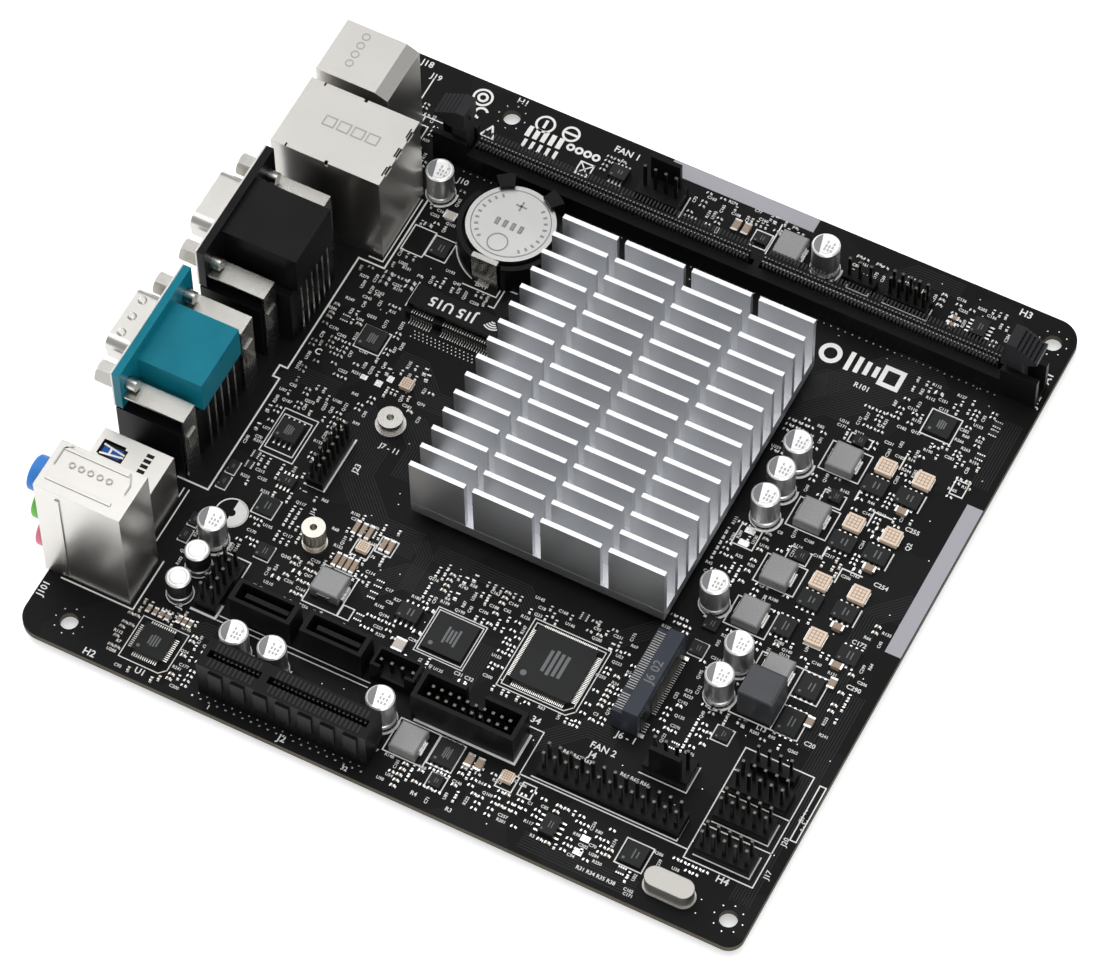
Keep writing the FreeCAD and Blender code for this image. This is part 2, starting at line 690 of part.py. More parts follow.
left, right, back, front, high = frame_of("usb")
usb = shield("usb")
middle = (left + right) / 2
for offset in (-3.1, 3.1):
    window = slab(middle + offset - 1.9, middle + offset + 1.9, front - 6.6, front - 1.3,
                  high - 1, high + 1)
    finger = slab(middle + offset - 1.0, middle + offset + 1.0, front - 7.0, front - 2.4,
                  high - METAL, high)
    usb = usb.cut(window).fuse(finger)
node("usb_port_shield", solid("usb_shield", usb.removeSplitter()))
core = insulator("usb", 0.6, 1.0)
core = core.cut(slab(middle - 6.3, middle + 6.3, front - 14.0, front + 1, 1.6, 6.8))
core = core.cut(slab(middle - 6.3, middle + 6.3, front - 14.0, front + 1, 8.9, 14.1))
node("usb_port_insulator", solid("usb_core", core))
tongues = [slab(middle - 5.6, middle + 5.6, front - 14.0, front - 1.6, low, low + 1.8)
           for low in (4.4, 11.7)]
node("usb_port_tongues", solid("usb_tongues", Part.makeCompound(tongues)))

left, right, back, front, high = frame_of("audio")
audio = shield("audio")
middle = (left + right) / 2
audio = audio.fuse(slab(left - 0.3, left, front - 6.0, front - 5.0, 1.5, high - 2.5))
audio = audio.fuse(slab(left + 2.3, left + 3.1, back + 3.5, front - 1.5, high, high + 0.25))
audio = audio.fuse(slab(right - 1.9, right - 1.1, back + 3.5, front - 1.5, high, high + 0.25))
node("audio_port_shield", solid("audio_shield", audio.removeSplitter()))
core = insulator("audio", 0.0, 0.6)
RING = size("audio_ring")
REACH = size("audio_reach")
barrels = []
for index in range(3):
    axis_z = TOP + size("audio_first") + size("audio_pitch") * index
    deep = Vector(middle, front - 13.0, axis_z)
    core = core.cut(Part.makeCylinder(RING, 14.0, deep, Vector(0, 1, 0)))
    barrel = Part.makeCylinder(RING, 13.0 + REACH, deep, Vector(0, 1, 0))
    barrel = barrel.cut(Part.makeCylinder(size("audio_bore"), 20.0, deep + Vector(0, 1.5, 0),
                                          Vector(0, 1, 0)))
    rim = [edge for edge in barrel.Edges
           if abs(edge.BoundBox.YMin - (front + REACH)) < 0.01 and edge.BoundBox.XLength > 5]
    barrels.append(barrel.makeFillet(0.6, rim))
node("audio_port_insulator", solid("audio_core", core))
for colour, barrel in zip(("pink", "green", "blue"), barrels):
    node("audio_jack_" + colour, solid("jack_" + colour, barrel))

# ---------------------------------------------------------------- D-shaped ports
AXIS = size("port_axis")
STRAP_BACK = 69.6


def d_outline(width, height, taper, y, depth, centre, radius):
    """A D-shaped bar along Y: wide side up, corners rounded."""
    half = height / 2
    lower = width / 2 - math.tan(math.radians(taper)) * height
    points = [(centre - width / 2, AXIS + half), (centre - lower, AXIS - half),
              (centre + lower, AXIS - half), (centre + width / 2, AXIS + half)]
    bar_shape = prism(points, y, depth, "y")
    edges = [edge for edge in bar_shape.Edges
             if abs(edge.tangentAt(edge.FirstParameter).y) > 0.99]
    return bar_shape.makeFillet(radius, edges)


def stacked_port(prefix, label, width, height, plug, base_back, pin_y, pin_pitch, pin_count):
    """The coloured upper body, its metal D shell, the black base under it and its pins."""
    centre = size(prefix + "_x")
    face = size(prefix + "_face")
    back = size(prefix + "_back")
    block_width = size(prefix + "_block")
    low = size("flange_low")
    high = size("flange_high")
    half_flange = size("flange_width") / 2
    top = size(prefix + "_top")
    body_shape = slab(centre - block_width / 2, centre + block_width / 2, back, face - 2.2, low, top)
    body_shape = body_shape.fuse(slab(centre - half_flange, centre + half_flange,
                                      face - 2.2, face - 0.4, low, high))
    body_shape = body_shape.fuse(d_outline(width - 1.4, height - 1.4, 10, face - 0.4,
                                           0.4 + plug, centre, 1.8))
    bolt_half = size("bolt_half_span")
    for side in (-1, 1):
        body_shape = body_shape.cut(Part.makeCylinder(
            1.55, 6.0, Vector(centre + side * bolt_half, face - 5.0, TOP + AXIS), Vector(0, 1, 0)))
    node(label + "_body", solid(prefix + "_body", body_shape.removeSplitter()))

    reach = size("shell_reach")
    shell = slab(centre - half_flange, centre + half_flange, face - 0.4, face, low, high)
    shell = shell.fuse(d_outline(width, height, 10, face, reach, centre, 2.4))
    shell = shell.cut(d_outline(width - 0.8, height - 0.8, 10, face - 1, reach + 2, centre, 2.0))
    for side in (-1, 1):
        shell = shell.cut(Part.makeCylinder(
            1.55, 6.0, Vector(centre + side * bolt_half, face - 3.0, TOP + AXIS), Vector(0, 1, 0)))
    node(label + "_shell", solid(prefix + "_shell", shell))

    base = slab(centre - half_flange, centre + half_flange, base_back, face - 0.4, 0, 17.2)
    base = base.cut(slab(centre - 7.6, centre + 7.6, face - 13.0, face + 1, 3.2, 9.0))
    for side in (-1, 1):
        base = base.cut(slab(centre + side * 12.5 - 3.2, centre + side * 12.5 + 3.2,
                             base_back - 1, STRAP_BACK + 0.7, -1, 18))
    node(label + "_base", solid(prefix + "_base", base))

    pins = []
    for index in range(pin_count):
        x = centre + (index - (pin_count - 1) / 2) * pin_pitch
        pins.append(Part.makeBox(0.6, 0.35, TOP + low - LEG_END, Vector(x - 0.3, pin_y, LEG_END)))
    return centre, face, pins


centre, face, pins = stacked_port("serial", "serial_port", 16.9, 8.4, 1.0, 70.2, 69.2, 2.77, 5)
for index in range(9):
    upper = index < 5
    x = centre + ((index - 2) if upper else (index - 5) - 1.5) * 2.77
    z = TOP + AXIS + (1.42 if upper else -1.42)
    pins.append(Part.makeCylinder(0.5, 5.2, Vector(x, face + 1.0, z), Vector(0, 1, 0)))
node("serial_port_pins", solid("serial_pins", Part.makeCompound(pins)))
centre, face, pins = stacked_port("monitor", "monitor_port", 16.3, 8.0, 5.2, 66.6, 65.75, 2.3, 6)
node("monitor_port_pins", solid("monitor_pins", Part.makeCompound(pins)))

inserts = []
for prefix in ("serial", "monitor"):
    centre = size(prefix + "_x")
    face = size(prefix + "_face")
    outer = slab(centre - 7.55, centre + 7.55, face - 12.5, face + 0.2, 3.25, 8.95)
    cavity = slab(centre - 7.2, centre + 7.2, face - 12.1, face + 1, 3.6, 8.6)
    tongue = slab(centre - 5.8, centre + 5.8, face - 12.3, face - 1.0, 5.4, 6.6)
    inserts.append(outer.cut(cavity).fuse(tongue))
node("video_port_inserts", solid("video_inserts", Part.makeCompound(inserts)))

bracket_shapes = []
jackscrew_shapes = []
HEX_RADIUS = 2.4 / math.cos(math.radians(30))
for prefix in ("serial", "monitor"):
    face = size(prefix + "_face")
    for side in (-1, 1):
        x = size(prefix + "_x") + side * size("bolt_half_span")
        back = STRAP_BACK
        strap = slab(x - 2.5, x + 2.5, back, face - 2.3, 21.4, 21.9)
        strap = strap.fuse(slab(x - 2.5, x + 2.5, back, back + 0.5, 0, 21.9))
        strap = strap.fuse(slab(x - 1.6, x + 1.6, back - 0.35, back, 9.0, 15.0))
        for leg in (-1.5, 1.5):
            strap = strap.fuse(Part.makeBox(1.2, 0.5, TOP - LEG_END,
                                            Vector(x + leg - 0.6, back, LEG_END)))
        bracket_shapes.append(strap.removeSplitter())
        corners = [(x + HEX_RADIUS * math.cos(math.radians(60 * k)),
                    AXIS + HEX_RADIUS * math.sin(math.radians(60 * k))) for k in range(6)]
        screw = prism(corners, face, 4.6, "y")
        at = Vector(x, face, TOP + AXIS)
        screw = screw.common(Part.makeCone(HEX_RADIUS + 4.3, HEX_RADIUS - 0.3, 4.6, at,
                                           Vector(0, 1, 0)))
        screw = screw.fuse(Part.makeCylinder(1.4, 4.5, at - Vector(0, 4.5, 0), Vector(0, 1, 0)))
        screw = screw.cut(Part.makeCylinder(1.25, 4.6, at + Vector(0, 0.2, 0), Vector(0, 1, 0)))
        jackscrew_shapes.append(screw)
node("port_brackets", solid("brackets", Part.makeCompound(bracket_shapes)))
node("port_jackscrews", solid("jackscrews", Part.makeCompound(jackscrew_shapes)))

# ---------------------------------------------------------------- capacitors and inductors
POLYMER_SPOTS = [(-47.4, 57.4), (-69.6, 39.8), (-69.3, 30.9), (-69.5, 5.1), (53.6, 56.5),
                 (-13.1, -44.1), (-32.6, -54.9), (-24.0, -55.2), (11.0, -44.1), (18.5, -44.1),
                 (26.1, -44.3), (74.0, -27.6)]
AUDIO_CAN_SPOTS = [(-62.1, 57.4), (-54.5, 57.1)]
COIL_SPOTS = [(-46.8, 29.6), (-72.4, -2.9), (-12.7, -52.4), (-1.0, -53.2), (15.0, -53.3),
              (30.5, -53.3), (74.3, -19.0), (-22.9, -63.4)]
COIL_TURNS = [0, 90, 90, 90, 90, 90, 90, 90]


def turned_can(name, radius, height):
    """A round can standing on the board, with a crimp groove and a rolled top edge."""
    groove = 0.3
    edge = 0.35
    outline_points = [(0, 0), (radius - 0.35, 0), (radius, 0.35), (radius, 1.3),
                      (radius - groove, 1.65), (radius, 2.0), (radius, height - edge),
                      (radius - edge, height), (radius - 0.8, height),
                      (radius - 1.0, height - 0.12), (0, height - 0.12)]
    corners = [Vector(u, 0, v + TOP) for u, v in outline_points]
    face_shape = Part.Face(Part.makePolygon(corners + corners[:1]))
    return solid(name, face_shape.revolve(Vector(), Vector(0, 0, 1), 360))


polymer_master = turned_can("polymer_master", size("capacitor_radius"), size("capacitor_height"))
node("polymer_capacitors", copies("polymer_group", polymer_master, POLYMER_SPOTS))
audio_master = turned_can("audio_master", size("audio_can_radius"), size("audio_can_height"))
node("audio_capacitors", copies("audio_can_group", audio_master, AUDIO_CAN_SPOTS))

SIDE = size("inductor_side")
TALL = size("inductor_height")
coil = cuboid(0, 0, SIDE - 0.5, SIDE, 0, TALL)
top_rim = [edge for edge in coil.Edges if abs(edge.BoundBox.ZMin - (TOP + TALL)) < 0.01]
coil_master = solid("coil_master", coil.makeChamfer(0.3, top_rim))
node("power_inductors", copies("coil_group", coil_master, COIL_SPOTS, COIL_TURNS))
ends = []
for side in (-1, 1):
    outer_x = side * SIDE / 2
    wrap = slab(min(outer_x, outer_x - side * 0.25), max(outer_x, outer_x - side * 0.25),
                -1.5, 1.5, 0, 1.9)
    ends.append(wrap)
ends_master = solid("ends_master", Part.makeCompound(ends))
coil_ends = copies("ends_group", ends_master, COIL_SPOTS, COIL_TURNS)
large = cuboid(-30.6, -63.9, size("large_coil_width"), size("large_coil_length"), 0,
               size("large_coil_height"))
large_rim = [edge for edge in large.Edges
             if edge.BoundBox.ZMin > TOP + 1 or edge.BoundBox.ZLength > 1]
node("large_inductor", solid("large_coil", large.makeFillet(0.6, large_rim)))

# ---------------------------------------------------------------- chips
POWER_CHIPS = [(-32.0, -71.2, 6.2, 4.7), (-22.6, -71.2, 5.6, 4.7), (-11.8, -59.9, 4.7, 4.4),
               (-12.1, -75.0, 4.1, 4.7), (-3.6, -61.9, 4.1, 5.0), (-3.0, -69.6, 4.1, 5.0),
               (12.4, -61.7, 4.1, 5.4), (12.7, -69.4, 4.1, 5.4), (28.1, -61.7, 4.1, 5.4),
               (28.5, -69.4, 4.1, 5.4), (-71.1, -11.1, 6.0, 5.0)]
node("power_transistors", solid("transistors", Part.makeCompound(
    [cuboid(x, y, wide, long_side, 0, 1.0) for x, y, wide, long_side in POWER_CHIPS])))

# Leadless packages sit flat; leaded ones stand 0.1 mm up on gull-wing leads.
FLAT_CHIPS = [(-46.0, 1.3, 9.3, 9.3), (-35.1, 51.4, 4.4, 4.4), (-45.2, 46.4, 3.4, 3.4),
              (12.5, 51.6, 5.5, 5.5), (40.1, 49.5, 4.2, 4.2), (48.4, -67.7, 5.5, 5.5),
              (-74.5, -56.4, 5.0, 5.0), (-40.9, -60.0, 3.1, 3.1), (-24.8, -46.1, 3.2, 3.2),
              (-18.1, -46.0, 3.3, 3.3), (-77.8, -12.0, 2.9, 2.9), (22.0, -55.5, 2.8, 2.8),
              (37.0, -53.9, 2.8, 2.8), (5.4, -55.4, 2.8, 2.8), (74.3, -12.0, 2.6, 3.2),
              (-49.1, 63.4, 3.0, 2.0), (-44.9, 63.4, 3.0, 2.0), (-33.8, 62.6, 3.0, 2.0),
              (-29.7, 62.6, 3.0, 2.0)]
LEADED_CHIPS = [(-42.3, -21.2, 14.0, 14.0, 1.45, "four", 31, 0.4),
                (-75.5, 56.2, 7.0, 7.0, 1.45, "four", 12, 0.5),
                (-16.8, 56.0, 5.2, 5.3, 1.7, "x", 4, 1.27),
                (-44.9, 11.7, 3.9, 5.0, 1.5, "x", 4, 1.27),
                (-76.5, -38.0, 4.7, 3.5, 1.5, "y", 4, 1.27),
                (75.5, 23.6, 3.3, 4.0, 1.5, "x", 4, 0.9),
                (74.6, -64.5, 4.4, 3.5, 1.5, "y", 4, 1.0),
                (-27.7, 50.6, 2.3, 4.0, 1.1, "x", 4, 0.9)]
chip_bodies = [cuboid(x, y, wide, long_side, 0, 0.85) for x, y, wide, long_side in FLAT_CHIPS]
leads = []


def lead(x, y, out, wide):
    """One flat lead from a package's side wall; out is its direction."""
    reach = 1.15
    if out[0]:
        low = min(x, x + out[0] * reach)
        return slab(low, low + reach, y - wide / 2, y + wide / 2, 0, 0.3)
    low = min(y, y + out[1] * reach)
    return slab(x - wide / 2, x + wide / 2, low, low + reach, 0, 0.3)


for x, y, wide, long_side, tall, sides, count, pitch in LEADED_CHIPS:
    chip_bodies.append(cuboid(x, y, wide, long_side, 0.1, tall))
    lead_width = min(0.42, pitch * 0.5)
    for index in range(count):
        along = (index - (count - 1) / 2) * pitch
        if sides in ("x", "four"):
            leads.append(lead(x - wide / 2, y + along, (-1, 0), lead_width))
            leads.append(lead(x + wide / 2, y + along, (1, 0), lead_width))
        if sides in ("y", "four"):
            leads.append(lead(x + along, y - long_side / 2, (0, -1), lead_width))
            leads.append(lead(x + along, y + long_side / 2, (0, 1), lead_width))
node("chip_packages", solid("chips", Part.makeCompound(chip_bodies)))
node("surface_terminals", solid("terminals", Part.makeCompound(leads + coil_ends.Shape.Solids)))

can_length = 11.0
can_width = 4.7
can_shape = slab(-78.6 - can_width / 2, -78.6 + can_width / 2, -66.5 - can_length / 2,
                 -66.5 + can_length / 2, 0.4, 4.0)
can_shape = can_shape.makeFillet(2.3, [edge for edge in can_shape.Edges
                                       if edge.BoundBox.ZLength > 1])
rim_shape = slab(-81.4, -75.8, -72.4, -60.6, 0, 0.4)
rim_shape = rim_shape.makeFillet(2.7, [edge for edge in rim_shape.Edges
                                       if edge.BoundBox.ZLength > 0.1])
node("crystal_can", solid("crystal", can_shape.fuse(rim_shape)))

# ---------------------------------------------------------------- cable headers
sata_ports = []
for y in (37.7, 20.7):
    port = cuboid(-60.0, y, 5.6, 14.6, 0, 8.5)
    port = port.cut(cuboid(-60.0, y, 3.9, 12.4, 2.0, 9.0))
    port = port.fuse(cuboid(-60.3, y - 0.8, 1.1, 10.2, 2.0, 8.2))
    sata_ports.append(port)
node("sata_ports", solid("sata", Part.makeCompound(sata_ports)))
power_header = cuboid(-59.7, 6.5, 5.0, 10.5, 0, 6.5)
power_header = power_header.cut(cuboid(-59.7, 6.5, 3.6, 9.1, 2.0, 7.0))
power_header = power_header.cut(slab(-63.0, -61.0, 3.6, 9.4, 2.6, 7.0))
node("drive_power_header", solid("drive_power", power_header))

shroud = cuboid(-62.7, -12.2, 7.4, 24.0, 0, 9.0)
shroud = shroud.cut(cuboid(-62.7, -12.2, 5.4, 22.0, 2.2, 9.5))
shroud = shroud.cut(slab(-60.2, -58.0, -14.4, -10.0, 3.0, 9.5))
node("usb_header_shroud", solid("usb_shroud", shroud))

PIN_HALF = size("header_pin") / 2
HEADER = size("header_pitch")
FINE = size("fine_pitch")
HEADERS = [
    (-57.0, 50.6, 5, 2, HEADER), (-19.3, 44.6, 7, 2, FINE), (-64.3, -46.2, 2, 13, HEADER),
    (-65.9, -73.3, 2, 5, HEADER), (-57.2, -73.3, 2, 5, HEADER), (-49.9, -73.5, 2, 5, HEADER),
    (-44.1, -73.5, 1, 4, HEADER), (74.0, -47.7, 2, 5, FINE), (73.6, -36.2, 1, 3, HEADER),
]
pin_bases = []
pins = []


def header_pins(x, y, across, along, pitch, top):
    for i in range(across):
        for j in range(along):
            px = x + (i - (across - 1) / 2) * pitch
            py = y + (j - (along - 1) / 2) * pitch
            pins.append(Part.makeBox(2 * PIN_HALF, 2 * PIN_HALF, TOP + top - LEG_END,
                                     Vector(px - PIN_HALF, py - PIN_HALF, LEG_END)))


for x, y, across, along, pitch in HEADERS:
    base = cuboid(x, y, across * pitch, along * pitch, 0, size("header_base"))
    for i in range(across):
        for j in range(along):
            px = x + (i - (across - 1) / 2) * pitch
            py = y + (j - (along - 1) / 2) * pitch
            base = base.cut(cuboid(px, py, 2 * PIN_HALF, 2 * PIN_HALF, -0.5, 3.0))
    pin_bases.append(base)
    header_pins(x, y, across, along, pitch, size("header_reach"))

fans = []
for x, y, side in ((74.4, 12.6, 1), (-53.2, -54.0, -1)):
    fan = cuboid(x, y, 6.0, 10.2, 0, 3.2)
    fan = fan.fuse(slab(min(x + side * 2.0, x + side * 3.0), max(x + side * 2.0, x + side * 3.0),
                        y - 3.6, y + 3.6, 3.2, 11.0))
    for j in range(4):
        fan = fan.cut(cuboid(x - side * 0.4, y + (j - 1.5) * HEADER,
                             2 * PIN_HALF, 2 * PIN_HALF, -0.5, 4.0))
    fans.append(fan)
    header_pins(x - side * 0.4, y, 1, 4, HEADER, 10.5)
header_pins(-62.7, -12.2, 2, 10, FINE, 7.8)
header_pins(-59.7, 6.5, 1, 4, 2.5, 5.6)
node("pin_header_bases", solid("header_bases", Part.makeCompound(pin_bases)))
node("fan_headers", solid("fan_bases", Part.makeCompound(fans)))
node("pin_header_pins", solid("header_pins", Part.makeCompound(pins)))

# ---------------------------------------------------------------- check and write
doc.recompute()
for item in doc.Objects:
    if "Invalid" in item.State or "Error" in item.State:
        raise RuntimeError("%s: %s" % (item.Label, item.State))
os.makedirs("parts", exist_ok=True)
for item in NODES:
    if item.Shape.isNull() or not item.Shape.isValid():
        raise RuntimeError("bad shape in " + item.Label)
    item.Shape.exportStep(os.path.join("parts", item.Label + ".step"))
    box = item.Shape.BoundBox
    print("%-26s solids %3d  volume %9.1f  z %6.2f..%6.2f" % (
        item.Label, len(item.Shape.Solids), item.Shape.Volume, box.ZMin, box.ZMax))
print("nodes:", len(NODES))
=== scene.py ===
"""A compact square motherboard: finishes, printed legend, small parts, contacts and studio."""

import math
import random

import bmesh
import bpy
from mathutils import Matrix, Vector


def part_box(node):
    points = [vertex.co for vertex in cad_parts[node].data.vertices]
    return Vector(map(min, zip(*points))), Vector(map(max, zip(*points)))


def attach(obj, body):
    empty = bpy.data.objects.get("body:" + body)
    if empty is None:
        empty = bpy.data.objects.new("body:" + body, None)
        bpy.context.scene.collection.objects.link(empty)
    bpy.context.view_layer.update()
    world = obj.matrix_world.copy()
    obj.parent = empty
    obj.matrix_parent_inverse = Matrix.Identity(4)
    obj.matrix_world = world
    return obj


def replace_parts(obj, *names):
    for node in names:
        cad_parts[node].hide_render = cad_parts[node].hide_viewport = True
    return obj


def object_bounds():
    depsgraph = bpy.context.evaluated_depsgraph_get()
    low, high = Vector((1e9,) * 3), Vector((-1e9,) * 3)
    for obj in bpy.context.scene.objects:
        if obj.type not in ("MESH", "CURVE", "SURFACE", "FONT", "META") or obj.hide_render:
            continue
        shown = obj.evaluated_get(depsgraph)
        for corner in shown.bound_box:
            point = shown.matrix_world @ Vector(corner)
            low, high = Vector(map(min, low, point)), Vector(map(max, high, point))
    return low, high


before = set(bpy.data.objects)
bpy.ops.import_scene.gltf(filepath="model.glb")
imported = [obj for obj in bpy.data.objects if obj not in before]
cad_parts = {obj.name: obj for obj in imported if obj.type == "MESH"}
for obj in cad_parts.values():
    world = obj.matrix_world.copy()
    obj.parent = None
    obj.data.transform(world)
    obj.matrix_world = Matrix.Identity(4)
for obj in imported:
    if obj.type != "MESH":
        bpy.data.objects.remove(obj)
cad_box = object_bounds()

MM = 0.001


def corners(name):
    """The low and high corners of a CAD node, in millimetres."""
    return [Vector(corner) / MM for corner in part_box(name)]


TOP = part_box("circuit_board")[1][2] / MM
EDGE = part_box("circuit_board")[1][0] / MM
BURY = 0.01             # how far a mark's foot goes into the surface under it
INK = 0.03              # how far printed ink stands up
SUNK = TOP - BURY
INKED = TOP + INK
chance = random.Random(17)


# ---- finishes
class Field:
    """A shader socket that is worked with like a number."""

    def __init__(self, finish, socket):
        self.finish = finish
        self.socket = socket

    def maths(self, operation, first, second=0.0):
        return self.finish.node("ShaderNodeMath", {"operation": operation}, {0: first, 1: second})

    def __add__(self, other):
        return self.maths("ADD", self, other)

    __radd__ = __add__

    def __sub__(self, other):
        return self.maths("SUBTRACT", self, other)

    def __rsub__(self, other):
        return self.maths("SUBTRACT", other, self)

    def __mul__(self, other):
        return self.maths("MULTIPLY", self, other)

    __rmul__ = __mul__

    def __gt__(self, other):
        return self.maths("GREATER_THAN", self, other)

    def __lt__(self, other):
        return self.maths("LESS_THAN", self, other)

    def size(self):
        return self.maths("ABSOLUTE", self)


class Finish:
    """A material with its shader, the place on the object and the nodes that vary it."""

    def __init__(self, name, metallic=0.0, shine=0.5):
        self.material = bpy.data.materials.new(name)
        self.material.use_nodes = True
        self.tree = self.material.node_tree
        self.shader = self.tree.nodes["Principled BSDF"]
        self.shader.inputs["Metallic"].default_value = metallic
        self.shader.inputs["Specular IOR Level"].default_value = shine
        self.place = self.node("ShaderNodeTexCoord", output="Object")

    def node(self, kind, settings=None, inputs=None, output=0):
        made = self.tree.nodes.new(kind)
        for label, value in (settings or {}).items():
            setattr(made, label, value)
        for label, value in (inputs or {}).items():
            self.join(value, made.inputs[label])
        return Field(self, made.outputs[output])

    def join(self, value, socket):
        if isinstance(value, Field):
            self.tree.links.new(value.socket, socket)
        else:
            socket.default_value = value

    def feed(self, label, value):
        self.join(value, self.shader.inputs[label])

    def mix(self, factor, first, second):
        return self.node("ShaderNodeMix", {"data_type": "RGBA"}, {0: factor, 6: first, 7: second}, 2)

    def noise(self, scale, detail=2.0, stretch=(1.0, 1.0, 1.0)):
        place = self.node("ShaderNodeMapping", None, {"Vector": self.place, "Scale": stretch})
        return self.node("ShaderNodeTexNoise", None,
                         {"Vector": place, "Scale": scale, "Detail": detail})

    def axis(self, vector, letter):
        return self.node("ShaderNodeSeparateXYZ", None, {0: vector}, letter)

    def facing(self, letter):
        """How much the surface faces along an axis, from -1 to 1."""
        return self.axis(self.node("ShaderNodeNewGeometry", output="Normal"), letter)

    def rounded(self, radius):
        """The surface's direction with its sharp edges eased by a radius in millimetres."""
        return self.node("ShaderNodeBevel", {"samples": 4}, {"Radius": radius * MM})

    def edges(self, eased):
        """1 along sharp edges, 0 on flats."""
        plain = self.node("ShaderNodeNewGeometry", output="Normal")
        along = self.node("ShaderNodeVectorMath", {"operation": "DOT_PRODUCT"}, {0: eased, 1: plain},
                          "Value")
        return self.node("ShaderNodeMapRange", None, {"Value": along, "From Min": 1.0,
                                                      "From Max": 0.80})

    def relief(self, height, strength, depth, eased=None):
        inputs = {"Height": height, "Strength": strength, "Distance": depth * MM}
        if eased is not None:
            inputs["Normal"] = eased
        self.feed("Normal", self.node("ShaderNodeBump", None, inputs))


def tint(colour, gain):
    return tuple(min(1.0, part * gain) for part in colour) + (1.0,)


def moulded(name, colour, roughness=0.42, grain=0.3, edge=1.9, ease=0.14, shine=0.12):
    """Moulded plastic: slight mottle, fine grain and a painted highlight that lightens the sharp edges."""
    finish = Finish(name, shine=shine)
    mottle = finish.noise(120.0, 3.0)
    fine = finish.noise(4200.0, 2.0)
    eased = finish.rounded(ease)
    # painted highlight: the sharp edges are mixed towards a lighter colour, standing in for light caught on
    # them
    painted_edge_highlight = finish.edges(eased)
    body = finish.mix(mottle, tint(colour, 0.82), tint(colour, 1.2))
    edge_highlight_colour = tuple(part * edge + 0.010 for part in colour) + (1.0,)
    finish.feed("Base Color", finish.mix(painted_edge_highlight * 0.8, body, edge_highlight_colour))
    finish.feed("Roughness", roughness + 0.16 * (mottle - 0.5) + 0.10 * (fine - 0.5))
    finish.relief(fine, grain, 0.02, eased)
    return finish


def metal(name, colour, roughness=0.3, stretch=(1.0, 1.0, 1.0), scale=900.0, edge=1.15, ease=0.12,
          smudge=0.16, depth=0.01):
    """Rolled or plated metal: fine lines along one direction, smudges and a painted highlight along the
    sharp edges.
    """
    finish = Finish(name, metallic=1.0)
    lines = finish.noise(scale, 3.0, stretch)
    cloud = finish.noise(55.0, 4.0)
    eased = finish.rounded(ease)
    # painted highlight: the sharp edges are mixed towards a brighter tint, standing in for light caught on
    # them
    painted_edge_highlight = finish.edges(eased)
    body = finish.mix(cloud, tint(colour, 0.94), tint(colour, 1.04))
    finish.feed("Base Color", finish.mix(painted_edge_highlight * 0.7, body, tint(colour, edge)))
    finish.feed("Roughness", roughness + smudge * (cloud - 0.5) + 0.06 * (lines - 0.5))
    finish.relief(lines, 0.15, depth, eased)
    return finish


def solder_mask():
    """Matt black mask over glass laminate, with the bare laminate on the sawn edge."""
    finish = Finish("solder_mask_black", shine=0.09)
    weave_x = finish.noise(600.0, 1.0, (1.0, 0.06, 1.0))
    weave_y = finish.noise(600.0, 1.0, (0.06, 1.0, 1.0))
    weave = weave_x * 0.5 + weave_y * 0.5
    cloud = finish.noise(38.0, 4.0)
    pour = finish.noise(52.0, 0.0) > 0.53
    mask = finish.mix(pour * 0.45, (0.0048, 0.0050, 0.0054, 1.0), (0.0115, 0.0118, 0.0125, 1.0))
    mask = finish.mix(cloud * 0.5, mask, (0.0070, 0.0070, 0.0076, 1.0))
    sawn = finish.facing("Z").size() < 0.5
    glass = finish.mix(weave, (0.050, 0.044, 0.032, 1.0), (0.13, 0.115, 0.085, 1.0))
    finish.feed("Base Color", finish.mix(sawn, mask, glass))
    finish.feed("Roughness", 0.40 + 0.12 * cloud + 0.30 * sawn - 0.07 * pour)
    finish.relief(weave * 0.4 + pour * 0.6, 0.35, 0.03)
    return finish


def epoxy_package(name, colour, roughness=0.5):
    """Chip epoxy: sandy moulded surface with a painted highlight along its rim."""
    finish = Finish(name, shine=0.2)
    sand = finish.noise(5200.0, 3.0)
    cloud = finish.noise(160.0, 2.0)
    eased = finish.rounded(0.1)
    # painted highlight: the rim is mixed towards a much lighter tint, standing in for light caught on the
    # edges
    painted_edge_highlight = finish.edges(eased)
    body = finish.mix(sand * 0.6 + cloud * 0.4, tint(colour, 0.7), tint(colour, 1.35))
    finish.feed("Base Color", finish.mix(painted_edge_highlight * 0.6, body, tint(colour, 3.2)))
    finish.feed("Roughness", roughness + 0.2 * (cloud - 0.5))
    finish.relief(sand, 0.35, 0.02, eased)
    return finish


def sleeved_can(name, sleeve, lid, rough_sleeve=0.4, metallic_sleeve=0.0):
    """A capacitor can whose side and flat lid have different finishes."""
    finish = Finish(name)
    lid_mask = finish.facing("Z") > 0.6
    drawn = finish.noise(500.0, 1.0, (1.0, 1.0, 0.04))
    cloud = finish.noise(120.0, 2.0)
    eased = finish.rounded(0.15)
    side = finish.mix(drawn, tint(sleeve, 0.86), tint(sleeve, 1.1))
    top = finish.mix(cloud, tint(lid, 0.93), tint(lid, 1.05))
    finish.feed("Base Color", finish.mix(lid_mask, side, top))
    finish.feed("Metallic", metallic_sleeve + (0.75 - metallic_sleeve) * lid_mask)
    finish.feed("Roughness", rough_sleeve + 0.1 * (drawn - 0.5) + 0.04 * lid_mask)
    finish.relief(drawn, 0.05, 0.004, eased)
    return finish


